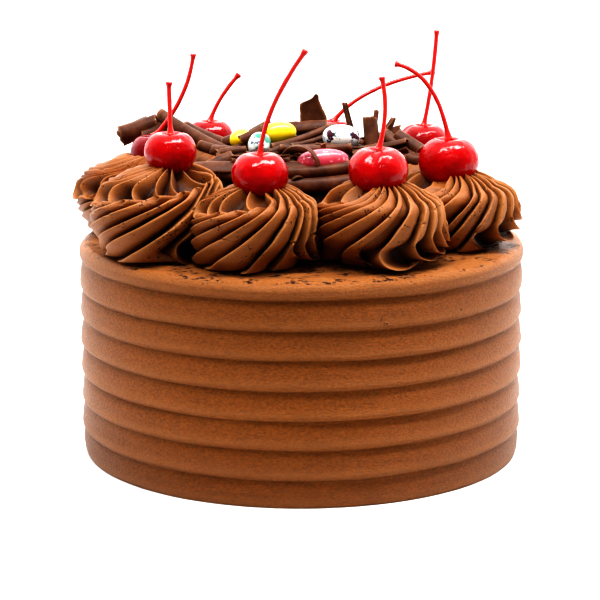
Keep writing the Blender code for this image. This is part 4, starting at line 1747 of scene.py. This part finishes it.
FLAKES = (
    Flake((5.2, 25.0, 46.0), (5.2, 26.0, 61.4), 13.0, 0, 30, 8, 0, (
        (0, -0.46, 0.54), (0.19, -0.45, 0.51), (0.35, -0.47, 0.48), (0.56, -0.47, 0.35),
        (0.72, -0.45, 0.28), (0.77, -0.29, 0.25), (0.85, -0.05, 0.22), (0.93, 0.05, 0.18),
        (1, 0.12, 0.15)), 0.9),
    Flake((-84.5, 32.0, 40.5), (-70.0, 34.0, 47.6), 10.5, 50, 110, 20, -0.3, (), 0.9),
    Flake((-74.0, 29.0, 43.6), (-61.5, 29.0, 50.0), 13.0, 35, 150, -25, -0.3, (), 0.9),
    Flake((-46.6, -22.0, 31.6), (-46.0, -18.5, 36.6), 6.4, 0, 10, 5, 0,
          ((0, -0.05, 0.05), (1, -0.45, 0.55))),
    Flake((-46.0, -22.0, 32.6), (-30.5, -16.0, 39.6), 7.0, 55, 70, 12, 0.35),
    Flake((-47.0, -26.0, 36.0), (-29.0, -27.0, 36.4), 8.0, 35, 60, 10, 0.2),
    Flake((40.0, -4.0, 39.0), (53.0, -8.0, 36.8), 7.5, 50, 120, 10, 0.2),
    Flake((-8.0, -24.0, 41.2), (7.0, -29.5, 32.0), 2.6, 10, 10, 178, 0.1, (), 0.55),
    Flake((9.3, -20.2, 45.2), (11.4, -21.2, 39.6), 2.4, 0, 10, 90, 0.3),
    Flake((-7.0, 20.0, 46.8), (12.0, 19.0, 48.4), 6.0, 50, 60, 8, 0.3),
    Flake((-4.0, 24.0, 45.6), (16.0, 22.0, 46.6), 7.0, 35, 80, -8, 0.2),
    Flake((38.0, 9.0, 43.5), (42.4, 13.0, 52.2), 4.6, 20, 30, 10, 0.75),
    Flake((37.0, 3.0, 47.5), (50.0, -5.5, 38.6), 6.5, 35, 120, -10, 0.1, (), 0.9),
    Flake((42.0, 1.0, 46.5), (52.5, -5.5, 40.5), 9.0, 60, 170, 10, -0.2, (), 0.9),
    Flake((35.0, 13.0, 42.0), (45.0, 9.0, 47.0), 9.0, 60, 90, 10, 0.3),
    Flake((-26.0, 13.5, 41.5), (-13.0, 18.0, 48.6), 8.0, 65, 130, 10, 0.1),
    Flake((-36.0, 12.0, 42.0), (-22.0, 10.0, 45.5), 6.5, 40, 120, 20, 0.4),
    Flake((-40.0, -2.0, 41.0), (-27.0, -10.0, 40.5), 7.0, 30, 140, 20, 0.3),
    Flake((-36.0, -14.0, 40.4), (-24.0, -12.0, 41.5), 5.0, 70, 150, 30, 0.3),
    Flake((-10.0, -27.0, 36.0), (2.0, -30.0, 35.4), 7.6, 60, 60, 10, 0.1),
    Flake((24.0, -16.0, 38.6), (35.0, -8.0, 42.0), 7.0, 60, 110, 10, 0.3),
    Flake((-2.0, -12.0, 42.6), (14.0, -8.0, 43.2), 6.0, 10, 60, 10, 0.3),
)


@dataclass
class ChocolateNest:
    """The heap of shavings in the middle, on its own mound of packed chocolate.

    Attributes:
        fresh: the chocolate of the curls and flakes on top.
        shade: a darker copy of the chocolate, painted shade for the crumbs that lie below them.
        half_width: from the mound's middle to its side.
        half_depth: from its middle to its front.
        height: how high it is.
        columns: points round it.
        scattered: how many small flakes are tried. One that would cut a pebble is left out.
        strewn: how far out they may lie, as a share of the way to the mound's side.
    """

    fresh: bpy.types.Material
    shade: bpy.types.Material
    half_width: float = 39.5
    half_depth: float = 32.0
    height: float = 42.0
    columns: int = 160
    scattered: int = 150
    strewn: float = 0.95
    # The mound's section: shares of the way out from its middle, and of its height there.
    stations: tuple[float, ...] = (0.0, 0.4, 0.7, 0.88, 1.0)
    heights: tuple[float, ...] = (0.99, 0.985, 0.93, 0.7, 0.0)

    def is_clear(self, place: Array, reach: Array) -> bool:
        """Tells whether a flake keeps off every pebble.

        Args:
            place: the flake's middle, from the cake's top.
            reach: from there to one of its ends.

        Returns:
            Whether it does.
        """
        for pebble in PEBBLES:
            gap = place + reach * np.linspace(-1, 1, 7)[:, None] - np.array(pebble.middle)
            if np.linalg.norm(gap * (1.0, 1.0, 0.6), axis=1).min() < pebble.length / 2 + 0.5:
                return False
        return True

    def mound_height(self, share: Array) -> Array:
        """Gives the mound's height where a share of the way out from its middle."""
        return self.height * curve_through(np.array(self.stations), np.array(self.heights), share)

    def build(self) -> list[bpy.types.Object]:
        """Builds the mound, the curls and the flakes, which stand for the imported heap."""
        return [self._mound(), self._shavings(), self._slivers()]

    def _mound(self) -> bpy.types.Object:
        """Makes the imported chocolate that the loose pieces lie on.

        Returns:
            The new piece.
        """
        azimuth = azimuths(self.columns)
        share = np.concatenate([np.linspace(1.0, 0.9, 8), np.linspace(0.88, 0.03, 44)])[:, None]
        level = self.mound_height(share)
        level = np.concatenate([np.array([[0.0], [0.33], [0.62]]) * self.height, level[1:]])
        share = np.concatenate([np.ones((3, 1)), share[1:]])
        across = RING_CENTRE[0] + share * self.half_width * np.sin(azimuth)
        deep = RING_CENTRE[1] - share * self.half_depth * np.cos(azimuth)
        grid = join_points(across, deep, CAKE_TOP + level)
        rough = 1.3 * Lumps(120, 6.0).at(grid) + 0.9 * Lumps(121, 2.5).at(grid) - 1.5
        grid[..., 2] += np.where(level > 1, rough, 0.0)
        dusted = {"edge": 0.15 * (Lumps(122, 3.0).at(grid) > 0.3)}
        # The mound wears the darker copy of the chocolate, as painted shade.
        return closed_skin(grid, dusted).to_piece(
            "packed_shavings", self.shade, Slot.CHOCOLATE, "chocolate_curls")

    def _shavings(self) -> bpy.types.Object:
        """Makes the rolled curls and the large flakes.

        Returns:
            The new piece.
        """
        heap = MeshHeap(("edge",))
        for seed, shaving in enumerate(CURLS + FLAKES):
            shaving.add_to(heap, seed)
        return heap.to_piece("rolled_shavings", self.fresh, Slot.CHOCOLATE, "chocolate_curls")

    def _slivers(self) -> bpy.types.Object:
        """Strews the small flakes over the mound.

        Returns:
            The new piece.
        """
        heap = MeshHeap(("edge",))
        draw = np.random.default_rng(7)
        for seed in range(self.scattered):
            bearing = draw.uniform(0, math.tau)
            share = math.sqrt(draw.uniform(0.0, 0.97))
            level = float(self.mound_height(np.array([share]))[0])
            place = np.array((
                RING_CENTRE[0] + self.strewn * share * self.half_width * math.sin(bearing),
                RING_CENTRE[1] - self.strewn * share * self.half_depth * math.cos(bearing),
                level + draw.uniform(-1.4, 0.9),
            ))
            heading = draw.uniform(0, math.tau)
            reach = draw.uniform(3.0, 9.0) * np.array((math.cos(heading), math.sin(heading), 0.0))
            outward = reach[0] * math.sin(bearing) - reach[1] * math.cos(bearing)
            reach[2] = draw.uniform(-0.8, 0.8) - 0.55 * outward * share ** 5
            flake = Flake(
                tuple(place - reach), tuple(place + reach), width=draw.uniform(5.0, 12.0),
                roll=draw.uniform(-60, 60), bow=draw.uniform(110, 290), bend=draw.uniform(-30, 60),
                taper=draw.uniform(0.0, 0.5), thick=0.6)
            if self.is_clear(place, reach):
                flake.add_to(heap, 20 + seed, rows=12, columns=8)
        # The small flakes wear the darker copy of the chocolate too, as painted shade.
        return heap.to_piece("slivers", self.shade, Slot.CHOCOLATE, "chocolate_curls")


@dataclass(frozen=True)
class Pebble:
    """One sugar-shelled chocolate pebble, a smooth uneven egg.

    Attributes:
        node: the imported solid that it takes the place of.
        middle: its middle, from the cake's top.
        length: from end to end.
        thickness: across it.
        heading: which way it points, in degrees from +X towards +Y.
        rise: how steeply it points up, in degrees.
        shell: its finish.
        slot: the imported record's finish that it stands for.
        boxiness: power of the cosine that its width follows. Below 1 makes it blunter.
        unevenness: how lumpy it is, as a share of its size.
        last_ring: the latitude in degrees of the last ring of points at each end.
        rows: points along it.
        columns: points round it.
    """

    node: str
    middle: Point
    length: float
    thickness: float
    heading: float
    rise: float
    shell: SugarShell
    slot: Slot
    boxiness: float = 0.85
    unevenness: float = 0.05
    last_ring: float = 84.0
    rows: int = 26
    columns: int = 40

    def build(self, seed: int) -> bpy.types.Object:
        """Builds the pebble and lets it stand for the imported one.

        Args:
            seed: picks its unevenness.

        Returns:
            The new piece.
        """
        heading, rise = math.radians(self.heading), math.radians(self.rise)
        ahead = np.array((math.cos(heading), math.sin(heading), 0.0))
        along = ahead * math.cos(rise) + np.array((0, 0, math.sin(rise)))
        side = np.array((-ahead[1], ahead[0], 0.0))
        over = np.cross(along, side)
        latitude = np.radians(np.linspace(-self.last_ring, self.last_ring, self.rows))[:, None]
        azimuth = azimuths(self.columns)
        far = np.sin(latitude) * self.length / 2 * np.ones_like(azimuth)
        wide = np.cos(latitude) ** self.boxiness * self.thickness / 2
        grid = far[..., None] * along + (wide * np.cos(azimuth))[..., None] * side
        grid = grid + (wide * np.sin(azimuth))[..., None] * over
        grid = grid * (1 + self.unevenness * Lumps(180 + seed, 7.0).at(grid))[..., None]
        name = self.node.replace("pebble", "sugar_pebble")
        return closed_skin(grid + above_cake(self.middle)).to_piece(
            name, self.shell.material(), self.slot, self.node)


YELLOW_SHELL = SugarShell("yellow_sugar_shell", "FBE02A", "F4D21C")
PEBBLES = (
    Pebble("pebble_yellow", (-10.0, 4.5, 46.6), 15.6, 9.6, 8, 3, YELLOW_SHELL, Slot.YELLOW),
    Pebble("pebble_lemon", (-27.4, 8.6, 43.4), 12.0, 8.6, 62, 10, YELLOW_SHELL, Slot.YELLOW),
    Pebble(
        "pebble_green", (-18.6, -9.0, 43.2), 12.6, 10.4, 80, 20,
        SugarShell("green_and_white_sugar_shell", "F2F4F0", "12806A",
                   (("24345C", 3.0, 0.6), ("3A1A12", 2.2, 0.63))), Slot.GREEN),
    Pebble(
        "pebble_white", (17.6, -1.0, 45.4), 16.8, 11.6, -4, 0,
        SugarShell("speckled_white_sugar_shell", "F6F5F0", "E4ECF0",
                   (("1B3E78", 2.6, 0.62), ("0F7C74", 2.2, 0.64), ("101014", 2.4, 0.6),
                    ("4A0E26", 4.5, 0.6))), Slot.WHITE),
    Pebble(
        "pebble_pink", (9.6, -24.6, 38.4), 23.0, 10.8, 5, 3,
        SugarShell("pink_sugar_shell", "C24658", "CE5C6A", (("E09CA6", 1.6, 0.6),)), Slot.PINK),
)


def hang(name: str, data: bpy.types.ID, place: Point, target: Point) -> bpy.types.Object:
    """Hangs a light or a camera up.

    Args:
        name: what it is called.
        data: the light or the camera.
        place: where it hangs, in metres.
        target: the place that it faces.

    Returns:
        The new object.
    """
    item = bpy.data.objects.new(name, data)
    item.location = place
    item.rotation_euler = (Vector(target) - Vector(place)).to_track_quat("-Z", "Y").to_euler()
    bpy.context.scene.collection.objects.link(item)
    return item


@dataclass
class Studio:
    """A white sweep, soft light from behind and above, and the photograph's camera.

    All its sizes are metres, but for the lens and the sensor.

    Attributes:
        camera_at: where the camera hangs.
        looks_at: the place that it faces.
        lens: its focal length in millimetres.
        sensor: its picture's width in millimetres.
        floor_size: how far the floor goes each way.
        floor_front: where the part of the floor that gives no light ends, towards +Y.
        cake_middle: what the soft lights face.
        softboxes: the soft lights, each with its name, place, width with height, and watts.
        sky: how bright the backdrop is.
        front_sky: how bright the room's front is.
        sky_from: where the room's front ends, as a direction's depth plus half its height.
        sky_to: where the backdrop starts, told in the same way.
    """

    camera_at: Point = (-0.0006, -0.9791, 0.2878)
    looks_at: Point = (-0.00058, 0.0, 0.06743)
    lens: float = 132.2
    sensor: float = 36.0
    floor_size: float = 24.0
    floor_front: float = -0.22
    cake_middle: Point = (0.0, 0.0, 0.1)
    softboxes: tuple[tuple[str, Point, tuple[float, float], float], ...] = (
        ("top_softbox", (0.15, -0.3, 1.4), (2.0, 0.2), 25.0),
        ("high_strip", (0.1, -0.75, 1.25), (1.6, 0.02), 1.1),
        ("low_strip", (0.2, -1.15, 1.0), (1.3, 0.015), 0.7),
    )
    sky: float = 1.7
    front_sky: float = 0.3
    sky_from: float = -0.4
    sky_to: float = 0.9

    def build(self) -> None:
        """Sets the floor, the lights and the camera up."""
        half = self.floor_size / 2
        paper = PaperSweep().material()
        self._floor("floor", self.floor_front, half, paper)
        # The front of the room is dark: the paper there neither lights the cake nor shows in it.
        front = self._floor("front_floor", -half, self.floor_front, paper)
        front.visible_glossy = front.visible_diffuse = False
        self._sky()
        for softbox in self.softboxes:
            self._softbox(*softbox)
        self._camera()

    def _floor(
        self, name: str, near: float, far: float, finish: bpy.types.Material
    ) -> bpy.types.Object:
        """Lays one part of the plain pale floor.

        Args:
            name: the part's name.
            near: where its front edge is, in metres towards +Y.
            far: where its back edge is.
            finish: its material.

        Returns:
            The new part.
        """
        half = self.floor_size / 2
        corners = [(-half, near, 0), (half, near, 0), (half, far, 0), (-half, far, 0)]
        mesh = bpy.data.meshes.new(name)
        mesh.from_pydata(corners, [], [(0, 1, 2, 3)])
        mesh.materials.append(finish)
        floor = bpy.data.objects.new(name, mesh)
        bpy.context.scene.collection.objects.link(floor)
        return floor

    def _sky(self) -> None:
        """Lights the scene from the white backdrop and from above, less from the room's front."""
        world = bpy.data.worlds.new("studio")
        world.use_nodes = True
        tree = world.node_tree
        way = add_node(tree, "ShaderNodeTexCoord").outputs["Generated"]
        parts = add_node(tree, "ShaderNodeSeparateXYZ", inputs={"Vector": way})
        lifted = add_node(tree, "ShaderNodeMath", {"operation": "MULTIPLY_ADD"}, {
            0: parts.outputs["Z"], 1: 0.5, 2: parts.outputs["Y"]})
        glow = add_node(tree, "ShaderNodeMapRange", {"interpolation_type": "SMOOTHSTEP"}, {
            "Value": lifted.outputs[0], "From Min": self.sky_from, "From Max": self.sky_to,
            "To Min": self.front_sky, "To Max": self.sky})
        fill_inputs(tree, tree.nodes["Background"], {
            "Color": (1.0, 1.0, 1.0, 1.0), "Strength": glow.outputs["Result"]})
        bpy.context.scene.world = world

    def _softbox(self, name: str, place: Point, size: tuple[float, float], watts: float) -> None:
        """Hangs one rectangular light that faces the cake.

        Args:
            name: the light's name.
            place: where it hangs.
            size: its width and height.
            watts: its power.
        """
        light = bpy.data.lights.new(name, "AREA")
        light.shape = "RECTANGLE"
        light.size, light.size_y = size
        light.energy = watts
        hang(name, light, place, self.cake_middle)

    def _camera(self) -> None:
        """Places the camera, points it at the cake and sets how its picture is developed."""
        camera = bpy.data.cameras.new("camera")
        camera.lens = self.lens
        camera.sensor_width = self.sensor
        camera.dof.use_dof = False
        scene = bpy.context.scene
        scene.camera = hang("camera", camera, self.camera_at, self.looks_at)
        scene.view_settings.view_transform = "Standard"
        scene.view_settings.look = "Very High Contrast"


def main() -> None:
    """Builds every piece in turn and reports it."""
    logging.basicConfig(level=logging.INFO, format="%(name)s: %(message)s")
    Studio().build()
    pieces = [IcedDrum().build()]
    cream = Buttercream("piped_chocolate_buttercream", "8A5528", "965D2E").material()
    glaze = CherryGlaze("syrup_glazed_cherry").material()
    # Darker copies of the glaze are painted shade: on the three cherries at the back, and a deeper
    # one on the cherry behind the first.
    shaded_glaze = CherryGlaze("syrup_glazed_cherry_in_shade", "A60008", "7C0006").material()
    deep_shaded_glaze = CherryGlaze("syrup_glazed_cherry_in_deep_shade", "8E0416", "5E020C").material()
    glazes = [glaze] * 4 + [shaded_glaze] * 3 + [deep_shaded_glaze]
    stem = StemSkin().material()
    for index, cherry_glaze in enumerate(glazes):
        pieces.append(PipedSwirl(index).build(cream))
        # The third cherry turns a deep crease to the front, the others a soft one away from it.
        cherry = Cherry(index, -15.0, 1.1) if index == 2 else Cherry(index, 130.0 + 40 * index)
        pieces.append(cherry.build(cherry_glaze))
        pieces.append(CherryStem(index).build(stem))
    # A darker copy of the chocolate is painted shade on the mound and the small flakes.
    shade = DarkChocolate("chocolate_crumbs_in_the_shade", "2A180F", "402818", "6A4630").material()
    pieces += ChocolateNest(DarkChocolate().material(), shade).build()
    pieces += [pebble.build(seed) for seed, pebble in enumerate(PEBBLES)]
    for piece in pieces:
        LOG.info("%s has %d faces", piece.name, len(piece.data.polygons))


if __name__ == "__main__":
    main()
